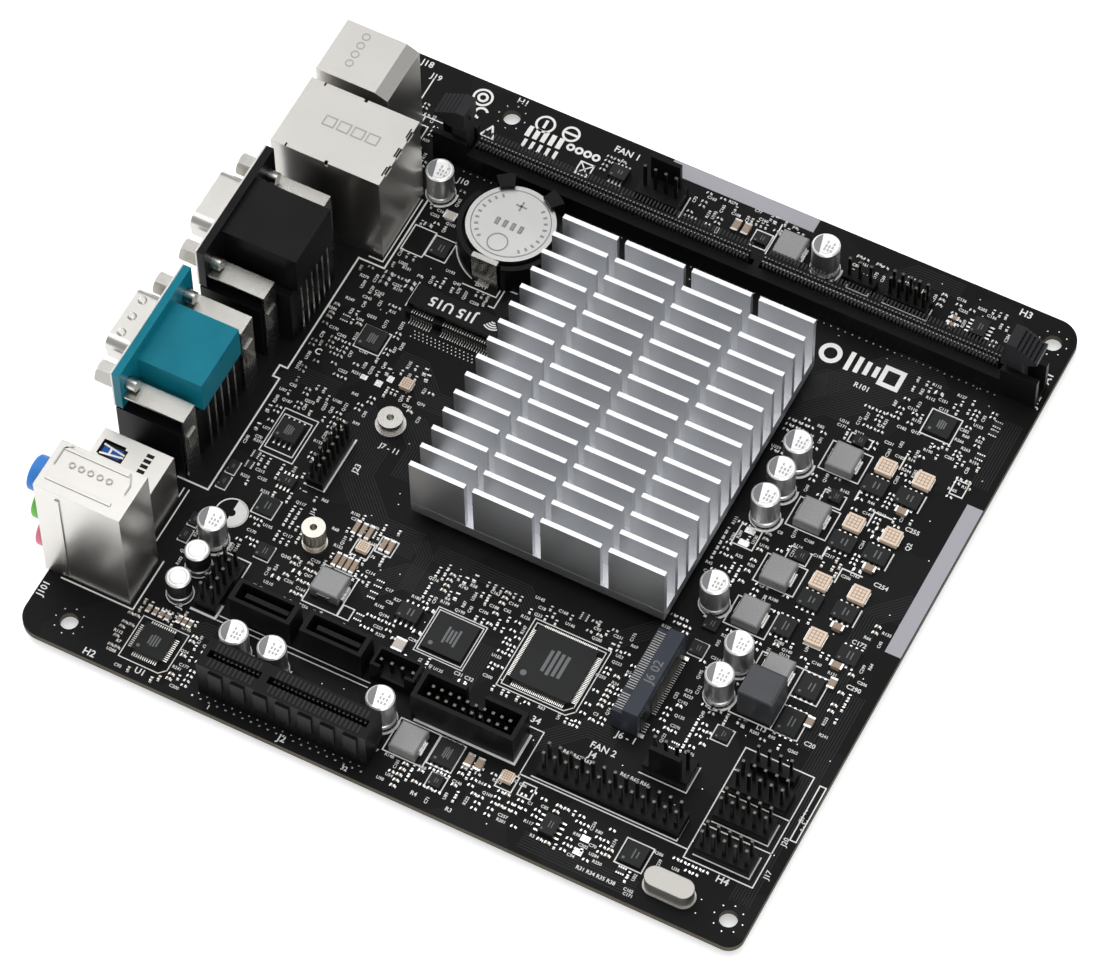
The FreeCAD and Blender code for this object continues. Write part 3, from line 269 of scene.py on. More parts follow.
def ferrite(name, colour):
    """Pressed iron powder: grainy grey with darker pores."""
    finish = Finish(name, metallic=0.25)
    grains = finish.noise(2600.0, 4.0)
    cloud = finish.noise(200.0, 2.0)
    eased = finish.rounded(0.2)
    pores = finish.node("ShaderNodeTexVoronoi", None, {"Vector": finish.place, "Scale": 1500.0}) < 0.16
    body = finish.mix(grains, tint(colour, 0.78), tint(colour, 1.18))
    finish.feed("Base Color", finish.mix(pores * 0.35, body, tint(colour, 0.5)))
    finish.feed("Roughness", 0.46 + 0.2 * (cloud - 0.5))
    finish.relief(grains - pores * 0.5, 0.4, 0.03, eased)
    return finish


def ink(name, colour, wear=0.18):
    """Printed legend: flat ink, a little thinner in places."""
    finish = Finish(name)
    thin = finish.noise(1600.0, 3.0)
    broad = finish.noise(140.0, 2.0)
    finish.feed("Base Color", finish.mix(thin * broad * wear * 4.0, tint(colour, 1.0), tint(colour, 0.72)))
    finish.feed("Roughness", 0.55 + 0.1 * (thin - 0.5))
    finish.relief(thin, 0.2, 0.01)
    return finish


def solder(name, colour=(0.86, 0.86, 0.84), roughness=0.22):
    """Reflowed tin: bright, gently lumpy."""
    finish = Finish(name, metallic=1.0)
    lumps = finish.noise(1500.0, 2.0)
    finish.feed("Base Color", finish.mix(lumps, tint(colour, 0.82), tint(colour, 1.08)))
    finish.feed("Roughness", roughness + 0.2 * (lumps - 0.5))
    finish.relief(lumps, 0.5, 0.05)
    return finish


def ceramic(name, light, dark):
    """Fired ceramic body with a speckle."""
    finish = Finish(name)
    speck = finish.noise(3000.0, 3.0)
    finish.feed("Base Color", finish.mix(speck, dark + (1.0,), light + (1.0,)))
    finish.feed("Roughness", 0.42 + 0.15 * (speck - 0.5))
    finish.relief(speck, 0.2, 0.01)
    return finish


BLACK = (0.0058, 0.0058, 0.0064)
mask_black = solder_mask()
legend_white = ink("legend_white", (0.82, 0.82, 0.80))
track_black = moulded("masked_copper", (0.0175, 0.018, 0.0195), 0.33, 0.15, 1.4, 0.05)
pad_tin = solder("tinned_pad", (0.80, 0.80, 0.79), 0.26)
chip_black = epoxy_package("chip_epoxy", (0.0125, 0.0130, 0.0138))
part_black = epoxy_package("resistor_body", (0.012, 0.012, 0.013), 0.42)
part_tan = ceramic("capacitor_ceramic", (0.40, 0.30, 0.22), (0.22, 0.155, 0.11))
pad_cream = ceramic("cream_pad", (0.86, 0.70, 0.56), (0.66, 0.50, 0.38))
pad_groove = ceramic("cream_pad_groove", (0.42, 0.30, 0.22), (0.30, 0.21, 0.15))
crystal_grey = ceramic("crystal_ceramic", (0.66, 0.62, 0.55), (0.46, 0.43, 0.38))
slot_black = moulded("slot_black", BLACK, 0.36, 0.22, 2.6)
latch_grey = moulded("latch_grey", (0.022, 0.022, 0.024), 0.40, 0.3, 2.4)
socket_slate = moulded("socket_slate", (0.040, 0.046, 0.060), 0.36, 0.22, 1.7)
port_black = moulded("port_black", (0.0055, 0.0055, 0.0060), 0.34, 0.22, 2.2)
port_teal = moulded("port_teal", (0.006, 0.168, 0.232), 0.30, 0.18, 1.35)
usb_blue = moulded("usb_blue", (0.010, 0.075, 0.33), 0.33, 0.2, 1.3)
jack_blue = moulded("jack_blue", (0.055, 0.230, 0.640), 0.30, 0.15, 1.2)
jack_green = moulded("jack_green", (0.18, 0.55, 0.11), 0.30, 0.15, 1.2)
jack_pink = moulded("jack_pink", (0.85, 0.25, 0.35), 0.30, 0.15, 1.2)
nylon_white = moulded("nylon_white", (0.62, 0.61, 0.57), 0.45, 0.3, 1.1)
thermal_grey = ceramic("thermal_pad", (0.30, 0.33, 0.36), (0.22, 0.24, 0.27))
ALONG_PIN = (1.0, 1.0, 0.2)
heatsink_silver = metal("heatsink_silver", (0.83, 0.84, 0.86), 0.42, (1.0, 0.05, 1.0), edge=1.2,
                        ease=0.1, smudge=0.10, depth=0.015)
shield_nickel = metal("shield_nickel", (0.64, 0.624, 0.594), scale=1500.0, edge=1.3, ease=0.15,
                      smudge=0.04, depth=0.0006)
bright_steel = metal("bright_steel", (0.60, 0.585, 0.55), 0.26, ease=0.1, smudge=0.06, depth=0.0008)
crystal_steel = metal("crystal_steel", (0.40, 0.388, 0.365), 0.42, edge=1.5, ease=0.2, smudge=0.08,
                      depth=0.001)
cell_steel = metal("cell_steel", (0.60, 0.60, 0.59), 0.30, (1.0, 0.12, 1.0), scale=1200.0,
                   smudge=0.06, depth=0.001)
cell_dull = metal("cell_dull", (0.25, 0.25, 0.245), 0.42)
# darker metal for the shields' stamped lines and rings: painted shade standing in for the shade along
# embossed creases
stamp_painted_shade = metal("stamp_painted_shade", (0.40, 0.39, 0.37), 0.40)
rib_grey = moulded("rib_grey", (0.028, 0.028, 0.030), 0.45, 0.2, 1.6)
standoff_metal = metal("standoff_metal", (0.74, 0.71, 0.64), 0.28, (1.0, 1.0, 0.1), edge=1.2)
screw_black = metal("screw_black", (0.06, 0.06, 0.065), 0.35, edge=2.0)
contact_gold = metal("contact_gold", (0.86, 0.62, 0.28), 0.24, ALONG_PIN, ease=0.05)
contact_tin = metal("contact_tin", (0.82, 0.80, 0.76), 0.24, ALONG_PIN, ease=0.05)
pin_dark = metal("pin_dark", (0.115, 0.108, 0.098), 0.30, ALONG_PIN, edge=1.2, ease=0.06)
contact_dull = metal("contact_dull", (0.30, 0.30, 0.29), 0.34, ALONG_PIN, ease=0.05)
can_silver = sleeved_can("can_silver", (0.74, 0.74, 0.74), (0.93, 0.93, 0.92), 0.34, 0.95)
can_black = sleeved_can("can_black", (0.014, 0.014, 0.015), (0.86, 0.86, 0.85), 0.36, 0.0)
coil_grey = ferrite("coil_grey", (0.27, 0.27, 0.275))
coil_dark = ferrite("coil_dark", (0.050, 0.052, 0.058))
die_grey = metal("silicon_die", (0.30, 0.31, 0.34), 0.18, scale=300.0, edge=1.1)
package_green = epoxy_package("package_substrate", (0.020, 0.050, 0.028), 0.45)
label_grey = ink("label_grey", (0.36, 0.355, 0.395), 0.08)
stripe_grey = ink("can_stripe_grey", (0.21, 0.215, 0.225), 0.12)
print_grey = ink("can_print_grey", (0.50, 0.50, 0.50), 0.12)
mark_grey = ink("chip_mark_grey", (0.13, 0.135, 0.14), 0.1)

FINISHED_NODES = [
        (mask_black, "circuit_board"),
        (package_green, "processor_package"),
        (die_grey, "processor_die"),
        (thermal_grey, "thermal_pad"),
        (heatsink_silver, "heatsink"),
        (nylon_white, "heatsink_spacers"),
        (screw_black, "heatsink_screws"),
        (slot_black, "memory_slot_housing", "expansion_slot_housing", "wireless_socket_housing",
     "battery_holder", "sata_ports", "drive_power_header", "usb_header_shroud", "pin_header_bases",
     "fan_headers"),
        (contact_gold, "memory_slot_contacts", "expansion_slot_contacts"),
        (latch_grey, "memory_latch_rear", "memory_latch_front"),
        (socket_slate, "storage_socket_housing"),
        (contact_tin, "storage_socket_contacts", "wireless_socket_contacts", "serial_port_pins",
     "monitor_port_pins", "surface_terminals"),
        (standoff_metal, "storage_standoff"),
        (bright_steel, "wireless_standoff", "battery_clip", "power_jack_pin", "port_brackets",
     "port_jackscrews"),
        (cell_steel, "coin_cell"),
        (shield_nickel, "power_port_shield", "network_port_shield", "usb_port_shield",
     "audio_port_shield", "serial_port_shell", "monitor_port_shell", "video_port_inserts"),
        (port_black, "power_port_insulator", "network_port_insulator", "usb_port_insulator",
     "audio_port_insulator", "serial_port_base", "monitor_port_body", "monitor_port_base"),
        (usb_blue, "usb_port_tongues"),
        (jack_pink, "audio_jack_pink"),
        (jack_green, "audio_jack_green"),
        (jack_blue, "audio_jack_blue"),
        (port_teal, "serial_port_body"),
        (can_silver, "polymer_capacitors"),
        (can_black, "audio_capacitors"),
        (coil_grey, "power_inductors"),
        (coil_dark, "large_inductor"),
        (chip_black, "power_transistors", "chip_packages"),
        (crystal_steel, "crystal_can"),
        (pin_dark, "pin_header_pins"),
]
NODE_FINISH = {name: finish for finish, *names in FINISHED_NODES for name in names}
for name, finish in NODE_FINISH.items():
    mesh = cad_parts[name].data
    mesh.materials.clear()
    mesh.materials.append(finish.material)


# ---- studio and camera
def studio():
    floor_z = cad_box[0][2]
    room = bmesh.new()
    bmesh.ops.create_grid(room, x_segments=1, y_segments=1, size=3.0,
                          matrix=Matrix.Translation((0.0, 0.0, floor_z - 0.0002)))
    mesh = bpy.data.meshes.new("studio_floor")
    room.to_mesh(mesh)
    room.free()
    floor = bpy.data.objects.new("studio_floor", mesh)
    bpy.context.collection.objects.link(floor)
    pale = Finish("studio_pale")
    paper = pale.noise(30.0, 2.0)
    pale.feed("Base Color", pale.mix(paper, (0.90, 0.90, 0.90, 1.0), (0.93, 0.93, 0.93, 1.0)))
    pale.feed("Roughness", 0.85)
    pale.shader.inputs["Emission Color"].default_value = (1.0, 1.0, 1.0, 1.0)
    pale.shader.inputs["Emission Strength"].default_value = 0.45
    mesh.materials.append(pale.material)
    world = bpy.data.worlds.new("studio_air")
    world.use_nodes = True
    world.node_tree.nodes["Background"].inputs["Color"].default_value = (1.0, 1.0, 1.0, 1.0)
    world.node_tree.nodes["Background"].inputs["Strength"].default_value = 0.42
    bpy.context.scene.world = world


def soft_box(name, place, aim, size, watts, colour=(1.0, 1.0, 1.0)):
    light = bpy.data.lights.new(name, "AREA")
    light.shape = "RECTANGLE"
    light.size, light.size_y = size
    light.energy = watts
    light.color = colour
    lamp = bpy.data.objects.new(name, light)
    lamp.location = place
    lamp.rotation_euler = (Vector(aim) - Vector(place)).to_track_quat("-Z", "Y").to_euler()
    bpy.context.collection.objects.link(lamp)


def camera():
    """The camera looks down over the memory side's far corner, from the card slots' front."""
    lens = bpy.data.cameras.new("viewing_camera")
    lens.lens = 191.19
    lens.sensor_width = 36.0
    lens.clip_end = 20.0
    eye = bpy.data.objects.new("viewing_camera", lens)
    right = Vector((0.45998, -0.88787, -0.01040))
    up = Vector((0.75621, 0.38558, 0.52866))
    back = Vector((-0.46537, -0.25103, 0.84877))
    turn = Matrix((right, up, back)).transposed().to_4x4()
    eye.matrix_world = Matrix.Translation((-0.582483, -0.312490, 1.059458)) @ turn
    bpy.context.collection.objects.link(eye)
    bpy.context.scene.camera = eye


studio()
camera()
soft_box("overhead_box", (0.10, 0.10, 1.30), (0.0, 0.0, 0.0), (1.1, 1.1), 8.5)
soft_box("rear_box", (0.55, 0.95, 0.75), (0.0, 0.0, 0.02), (0.9, 0.6), 6.0)
soft_box("front_box", (-0.75, -0.75, 0.55), (0.0, 0.0, 0.02), (0.8, 0.6), 4.0)
bpy.context.scene.view_settings.view_transform = "Standard"

# ---- building pieces
def solid_boxes(node):
    """The low and high corners, in millimetres, of each separate solid in a CAD node."""
    shape = bmesh.new()
    shape.from_mesh(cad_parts[node].data)
    bmesh.ops.remove_doubles(shape, verts=shape.verts, dist=1e-6)
    boxes = []
    waiting = set(shape.verts)
    while waiting:
        reached = [waiting.pop()]
        low, high = Vector((9e9, 9e9, 9e9)), Vector((-9e9, -9e9, -9e9))
        while reached:
            vert = reached.pop()
            low = Vector(map(min, low, vert.co / MM))
            high = Vector(map(max, high, vert.co / MM))
            for edge in vert.link_edges:
                other = edge.other_vert(vert)
                if other in waiting:
                    waiting.remove(other)
                    reached.append(other)
        boxes.append((low, high))
    shape.free()
    return sorted(boxes, key=lambda box: tuple(round(part, 2) for part in box[0]))


def round_cans(node):
    """The axis, radius and top of each can in a node."""
    return [(*(low + high).xy / 2, (high.x - low.x) / 2, high.z) for low, high in solid_boxes(node)]


STEP = 0.002            # keeps the tops of crossing line segments apart


class Piece:
    """A mesh in millimetres, made from blocks, discs, strips, stamps and lettering."""

    def __init__(self, name, *finishes):
        self.name = name
        self.finishes = finishes
        self.shape = bmesh.new()

    def coat(self, verts, finish):
        for face in {face for vert in verts for face in vert.link_faces}:
            face.material_index = finish

    def block(self, x, y, low, high, wide, long_side, finish=0, turn=0.0, bevel=0.0):
        matrix = Matrix.Translation((x, y, (low + high) / 2)) @ Matrix.Rotation(turn, 4, "Z")
        matrix = matrix @ Matrix.Diagonal((wide, long_side, high - low, 1.0))
        verts = bmesh.ops.create_cube(self.shape, size=1.0, matrix=matrix)["verts"]
        self.coat(verts, finish)
        if bevel:
            edges = list(dict.fromkeys(edge for vert in verts for edge in vert.link_edges))
            bmesh.ops.bevel(self.shape, geom=edges, offset=bevel, segments=2, profile=0.5,
                            affect="EDGES", material=-1)

    def disc(self, x, y, low, high, radius, sides=12, finish=0, top_radius=None):
        matrix = Matrix.Translation((x, y, (low + high) / 2))
        upper = radius if top_radius is None else top_radius
        made = bmesh.ops.create_cone(self.shape, cap_ends=True, segments=sides, radius1=radius,
                                     radius2=upper, depth=high - low, matrix=matrix)
        self.coat(made["verts"], finish)

    def ring(self, x, y, inner, outer, sides=24, start=0.0, sweep=math.tau, low=SUNK, high=INKED,
             finish=0):
        """A flat ring or, with a shorter sweep, an arc of it with closed ends."""
        verts = [self.shape.verts.new((x + radius * math.cos(start), y + radius * math.sin(start), z))
                 for radius, z in ((inner, low), (outer, low), (outer, high), (inner, high))]
        profile = verts + [self.shape.edges.new(pair) for pair in zip(verts, verts[1:] + verts[:1])]
        whole = sweep == math.tau
        if not whole:
            profile.append(self.shape.faces.new(verts))
        bmesh.ops.spin(self.shape, geom=profile, cent=(x, y, 0.0), axis=(0.0, 0.0, 1.0), angle=sweep,
                       steps=sides, use_merge=whole)
        faces = {face for vert in verts for face in vert.link_faces}
        grown = set(faces)
        while grown:
            grown = {near for face in grown for edge in face.edges for near in edge.link_faces} - faces
            faces |= grown
        bmesh.ops.recalc_face_normals(self.shape, faces=list(faces))
        for face in faces:
            face.material_index = finish

    def line(self, points, wide=0.28, low=SUNK, high=INKED, finish=0):
        """A printed or raised line through points, with square ends, its segments stepped a little."""
        for index, ((x0, y0), (x1, y1)) in enumerate(zip(points, points[1:])):
            run = math.hypot(x1 - x0, y1 - y0)
            turn = math.atan2(y1 - y0, x1 - x0)
            if run:
                self.block((x0 + x1) / 2, (y0 + y1) / 2, low, high - STEP * (index % 4), run + wide, wide,
                           finish, turn)

    def outline(self, x0, y0, x1, y1, wide=0.28, cut=0.0):
        """A rectangle of line, with its first corner cut off if a cut is given."""
        route = [(x0 + cut, y0), (x1, y0), (x1, y1), (x0, y1), (x0, y0 + cut), (x0 + cut, y0)]
        self.line(route, wide)

    def stamp(self, template, x, y, turn):
        """A copy of a template mesh, turned and moved to a place on the board."""
        copy = template.copy()
        copy.transform(Matrix.Translation((x, y, TOP)) @ Matrix.Rotation(turn, 4, "Z"))
        self.shape.from_mesh(copy)
        bpy.data.meshes.remove(copy)

    def letters(self, text, x, y, tall, turn=0.0, low=SUNK, high=INKED, bold=0.0):
        """Raised generic lettering, centred on a place."""
        curve = bpy.data.curves.new("lettering", "FONT")
        curve.body = text
        curve.size = tall * 1.38
        curve.align_x = "CENTER"
        curve.align_y = "CENTER"
        curve.extrude = (high - low) / 2
        curve.offset = 0.02 * tall + bold
        curve.resolution_u = 2
        holder = bpy.data.objects.new("lettering", curve)
        mesh = bpy.data.meshes.new_from_object(holder)
        mesh.transform(Matrix.Translation((x, y, (low + high) / 2)) @ Matrix.Rotation(turn, 4, "Z"))
        self.shape.from_mesh(mesh)
        bpy.data.objects.remove(holder)
        bpy.data.curves.remove(curve)
        bpy.data.meshes.remove(mesh)

    def template(self):
        """The shape as a mesh that stamp copies, in millimetres."""
        mesh = bpy.data.meshes.new(self.name)
        self.shape.to_mesh(mesh)
        self.shape.free()
        return mesh

    def done(self, body="board"):
        """Turns the millimetres to metres and gives the piece its finishes and its body."""
        bmesh.ops.scale(self.shape, vec=(MM, MM, MM), verts=self.shape.verts)
        mesh = bpy.data.meshes.new(self.name)
        self.shape.to_mesh(mesh)
        self.shape.free()
        for finish in self.finishes:
            mesh.materials.append(finish.material)
        mesh.shade_flat()
        piece = bpy.data.objects.new(self.name, mesh)
        bpy.context.collection.objects.link(piece)
        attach(piece, body)
        return piece


QUARTER = math.pi / 2
UP = QUARTER
DOWN = -QUARTER


# ---- where the board is free
class Floorplan:
    """Remembers which stretches of the board's top are taken."""

    def __init__(self):
        self.cells = {}

    def take(self, x0, y0, x1, y1):
        box = (x0, y0, x1, y1)
        for i in range(math.floor(x0), math.floor(x1) + 1):
            for j in range(math.floor(y0), math.floor(y1) + 1):
                self.cells.setdefault((i, j), []).append(box)

    def free(self, x0, y0, x1, y1):
        for i in range(math.floor(x0), math.floor(x1) + 1):
            for j in range(math.floor(y0), math.floor(y1) + 1):
                for a, b, c, d in self.cells.get((i, j), ()):
                    if x0 < c and x1 > a and y0 < d and y1 > b:
                        return False
        return True


HIDDEN = ("circuit_board", "heatsink", "heatsink_spacers", "heatsink_screws", "thermal_pad",
          "processor_die", "coin_cell")
plan = Floorplan()
for name in NODE_FINISH:
    if name not in HIDDEN:
        for low, high in solid_boxes(name):
            if low.z < TOP + 1.5 and high.z > TOP:
                plan.take(low.x, low.y, high.x, high.y)
sink_low, sink_high = corners("heatsink")
HOLES = [(-78.74, 74.84), (78.74, 51.98), (-78.74, -80.10), (78.74, -80.10)]
CLEAR = 4.6             # kept bare around each hole
for x, y in HOLES:
    plan.take(x - CLEAR, y - CLEAR, x + CLEAR, y + CLEAR)


# ---- printed legend
legend = Piece("printed_legend", legend_white, label_grey)
CREAM_COILS = [(-11.4, -67.0), (1.4, -61.9), (2.1, -70.5), (17.6, -61.9), (18.1, -70.5),
               (33.3, -61.9), (33.8, -70.5)]
MARK_LINES = [
    # beside the rear ports
    (0.3, [(74.3, 72.3), (80.2, 72.3)]),
    (0.4, [(-2.2, 66.3), (-2.2, 64.4), (30.2, 64.4), (30.2, 58.1), (50.3, 58.1)]),
    (0.3, [(31.6, 62.5), (31.6, 59.2), (50.0, 59.2)]),
    (0.4, [(-37.0, 72.0), (-37.0, 64.7), (-5.3, 64.7), (-5.3, 66.3), (-2.2, 66.3)]),
    (0.35, [(-70.2, 81.6), (-70.2, 64.3), (-57.0, 64.3)]),
    (0.3, [(-53.0, 69.4), (-39.0, 69.4)]),
    (0.3, [(-53.0, 68.2), (-39.0, 68.2)]),
    # audio and programming headers
    (0.55, [(-64.3, 53.5), (-64.3, 47.8), (-61.0, 47.8)]),
    (0.3, [(-48.9, 53.5), (-48.9, 47.6), (-54.0, 47.6)]),
    (0.25, [(-64.4, 47.2), (-64.4, 11.3)]),
    (0.25, [(-63.2, 47.2), (-63.2, 11.3)]),
    (0.4, [(-26.2, 47.1), (-26.2, 42.4), (-11.7, 42.4)]),
    # blue-port header and the long header beside it
    (0.55, [(-66.7, -1.2), (-66.7, -24.5), (-59.2, -24.5)]),
    (0.25, [(-68.7, -26.6), (-57.2, -26.6), (-57.2, -23.0)]),
    (0.28, [(-68.2, -26.6), (-68.2, -65.3)]),
    (0.28, [(-67.5, -29.0), (-67.5, -62.6), (-62.0, -62.6)]),
    (0.28, [(-68.7, -67.0), (-68.7, -79.8), (-63.2, -79.8)]),
    (0.28, [(-60.1, -67.0), (-60.1, -79.8), (-54.7, -79.8)]),
    (0.28, [(-61.4, -65.5), (-61.4, -81.3)]),
    (0.28, [(-52.8, -65.5), (-52.8, -81.3)]),
    (0.28, [(-47.0, -65.5), (-47.0, -68.0)]),
    (0.28, [(-56.6, -48.4), (-56.6, -59.3), (-50.0, -59.3)]),
    # battery, memory side and module socket
    (0.3, [(34.5, 41.0), (34.5, 32.8), (37.6, 32.8), (39.2, 29.4)]),
    (0.3, [(31.8, 33.2), (31.8, 31.9), (37.4, 31.9), (37.4, 29.2)]),
    (0.3, [(71.0, 6.9), (77.2, 6.9)]),
    (0.3, [(71.0, -14.3), (80.0, -14.3)]),
    (0.35, [(74.0, -33.2), (71.4, -34.0), (71.4, -39.0), (74.4, -39.0)]),
    (0.3, [(73.8, -42.6), (71.4, -42.6), (71.4, -53.1), (74.6, -53.1)]),
    (0.3, [(64.2, 67.3), (67.9, 67.3), (67.9, 69.2), (70.2, 69.2)]),
    (0.3, [(70.3, 70.2), (70.3, 65.0)]),
    (0.3, [(23.8, 49.4), (30.5, 49.4)]),
]
MARK_BOXES = [
    (-70.2, -81.3, -41.3, -65.5), (-56.7, -84.6, -42.5, -83.2), (-77.6, -59.5, -71.3, -53.3),
    (-42.8, -61.9, -39.0, -57.9), (-35.2, -68.0, -19.0, -58.4), (-35.2, -74.2, -28.4, -68.0),
    (-25.9, -74.2, -19.0, -68.0), (-16.4, -57.3, -9.0, -47.8), (-26.6, -47.9, -22.8, -44.5),
    (-73.0, -27.0, -69.0, -23.2), (-72.7, -31.3, -69.5, -28.3), (-74.6, -13.8, -67.6, -8.0),
    (-79.8, -14.0, -76.0, -10.2), (-76.0, -7.8, -67.5, 1.5), (-52.0, 25.4, -42.0, 33.7),
    (-37.6, 49.0, -32.6, 54.0), (-47.2, 44.6, -43.3, 48.0), (-37.1, 26.2, -33.2, 30.2),
    (-52.0, 22.6, -49.0, 25.2), (-34.3, 22.0, -30.3, 25.8), (-50.8, 62.3, -47.4, 64.5),
    (-46.6, 62.3, -43.2, 64.5), (-35.5, 61.5, -32.1, 63.7), (-31.4, 61.5, -28.0, 63.7),
    (9.4, 48.4, 15.6, 54.6), (37.4, 47.0, 43.2, 52.0),
    (36.5, 52.2, 43.6, 57.4), (2.0, -45.4, 7.2, -40.6), (45.0, -71.3, 51.8, -64.2),
    (72.1, -13.9, 76.4, -9.9), (-13.4, -68.9, -9.4, -65.1), (36.0, -56.4, 38.4, -51.4),
    (19.6, -57.6, 23.0, -52.6), (3.6, -57.2, 7.0, -52.4), (34.0, -79.4, 37.8, -76.4),
]
for wide, points in MARK_LINES:
    legend.line(points, wide)
for x0, y0, x1, y1 in MARK_BOXES:
    legend.outline(x0, y0, x1, y1)
for gap in (0.0, 0.8):
    legend.outline(-51.5 + gap, -30.2 + gap, -33.5 - gap, -12.3 - gap, 0.22, cut=1.6)
    legend.outline(-51.9 + gap * 0.7, -4.4 + gap * 0.7, -40.2 - gap * 0.7, 7.1 - gap * 0.7, 0.22)
    legend.outline(-23.2 + gap * 1.7, 51.8 + gap, -11.3 - gap * 1.7, 59.9 - gap * 0.8, 0.25)
legend.outline(-81.3, 50.6, -70.4, 61.5, 0.22, cut=1.4)
for x, y, wide in ((-0.6, -53.2, 7.4), (15.1, -53.2, 7.6), (31.0, -53.2, 7.6)):
    legend.outline(x - wide / 2, -58.1, x + wide / 2, -48.7, 0.28)
for x in (9.6, 25.3):
    legend.line([(x - 1.9, -59.3), (x + 1.9, -59.3)], 0.4)
    legend.line([(x - 6.6, -64.4), (x - 2.8, -64.4), (x - 2.8, -69.0)], 0.32)
legend.line([(34.6, -64.4), (38.1, -64.4)], 0.32)
for x in (12.6, 28.6, -3.0):
    legend.line([(x - 2.2, -72.6), (x + 2.2, -72.6)], 0.32)

# crescents and rings printed under the round capacitors
for x, y, radius, top in round_cans("polymer_capacitors"):
    legend.ring(x, y, radius + 0.1, radius + 0.32, 20)
    legend.ring(x, y, radius + 0.1, radius + 0.85, 14, math.radians(170.0), math.radians(118.0))
for x, y, radius, top in round_cans("audio_capacitors"):
    legend.ring(x, y, radius + 0.1, radius + 0.36, 20)
legend.ring(-39.8, 57.4, 3.4, 3.7, 28)
legend.ring(-39.8, 57.4, 0.9, 3.5, 14, math.pi, math.pi)
cell_low, cell_high = corners("coin_cell")
cell_x, cell_y = (cell_low + cell_high).xy / 2
legend.ring(cell_x, cell_y, 11.9, 12.2, 26, math.radians(112.0), math.radians(70.0))

# blank grey labels on two edges
for x, y, wide, long_side in ((83.05, -3.3, 3.7, 35.8), (12.85, -83.0, 40.7, 3.7)):
    legend.block(x, y, SUNK, TOP + 0.06, wide, long_side, 1)

# plain marks: rings, bars and a triangle beside the memory slot's rear end
for x, y, outer in ((80.4, 44.4, 2.35), (80.6, 38.1, 2.1), (80.6, 60.2, 2.4)):
    legend.ring(x, y, outer - 0.55, outer, 26)
legend.ring(80.6, 60.2, 0.7, 1.3, 18)
legend.line([(79.6, 44.4), (81.2, 44.4)], 0.7)
legend.line([(80.6, 36.9), (80.6, 39.3)], 0.6)
legend.ring(76.6, 58.6, 1.1, 1.7, 18, math.radians(-60.0), math.radians(240.0))
legend.line([(71.4, 53.0), (74.6, 54.6), (71.4, 56.2), (71.4, 53.0)], 0.5)
for index in range(5):
    legend.block(77.2, 46.8 - index * 1.9, SUNK, INKED, 3.0, 1.15)
    legend.block(73.9, 46.4 - index * 1.9, SUNK, INKED, 2.2, 0.8)
for index in range(4):
    legend.ring(77.4, 36.6 - index * 2.1, 0.45, 1.0, 14)
legend.outline(71.8, 29.6, 75.2, 32.8, 0.35)
legend.line([(71.8, 29.6), (75.2, 32.8)], 0.3)
legend.line([(75.2, 29.6), (71.8, 32.8)], 0.3)

# a row of bold plain marks along the heatsink's corner
legend.ring(54.6, -38.4, 1.5, 2.6, 26)
for index in range(4):
    legend.block(54.6, -43.0 - index * 2.1, SUNK, INKED, 5.0 - index * 0.7, 1.1)
legend.outline(52.4, -55.0, 56.8, -51.0, 1.1)

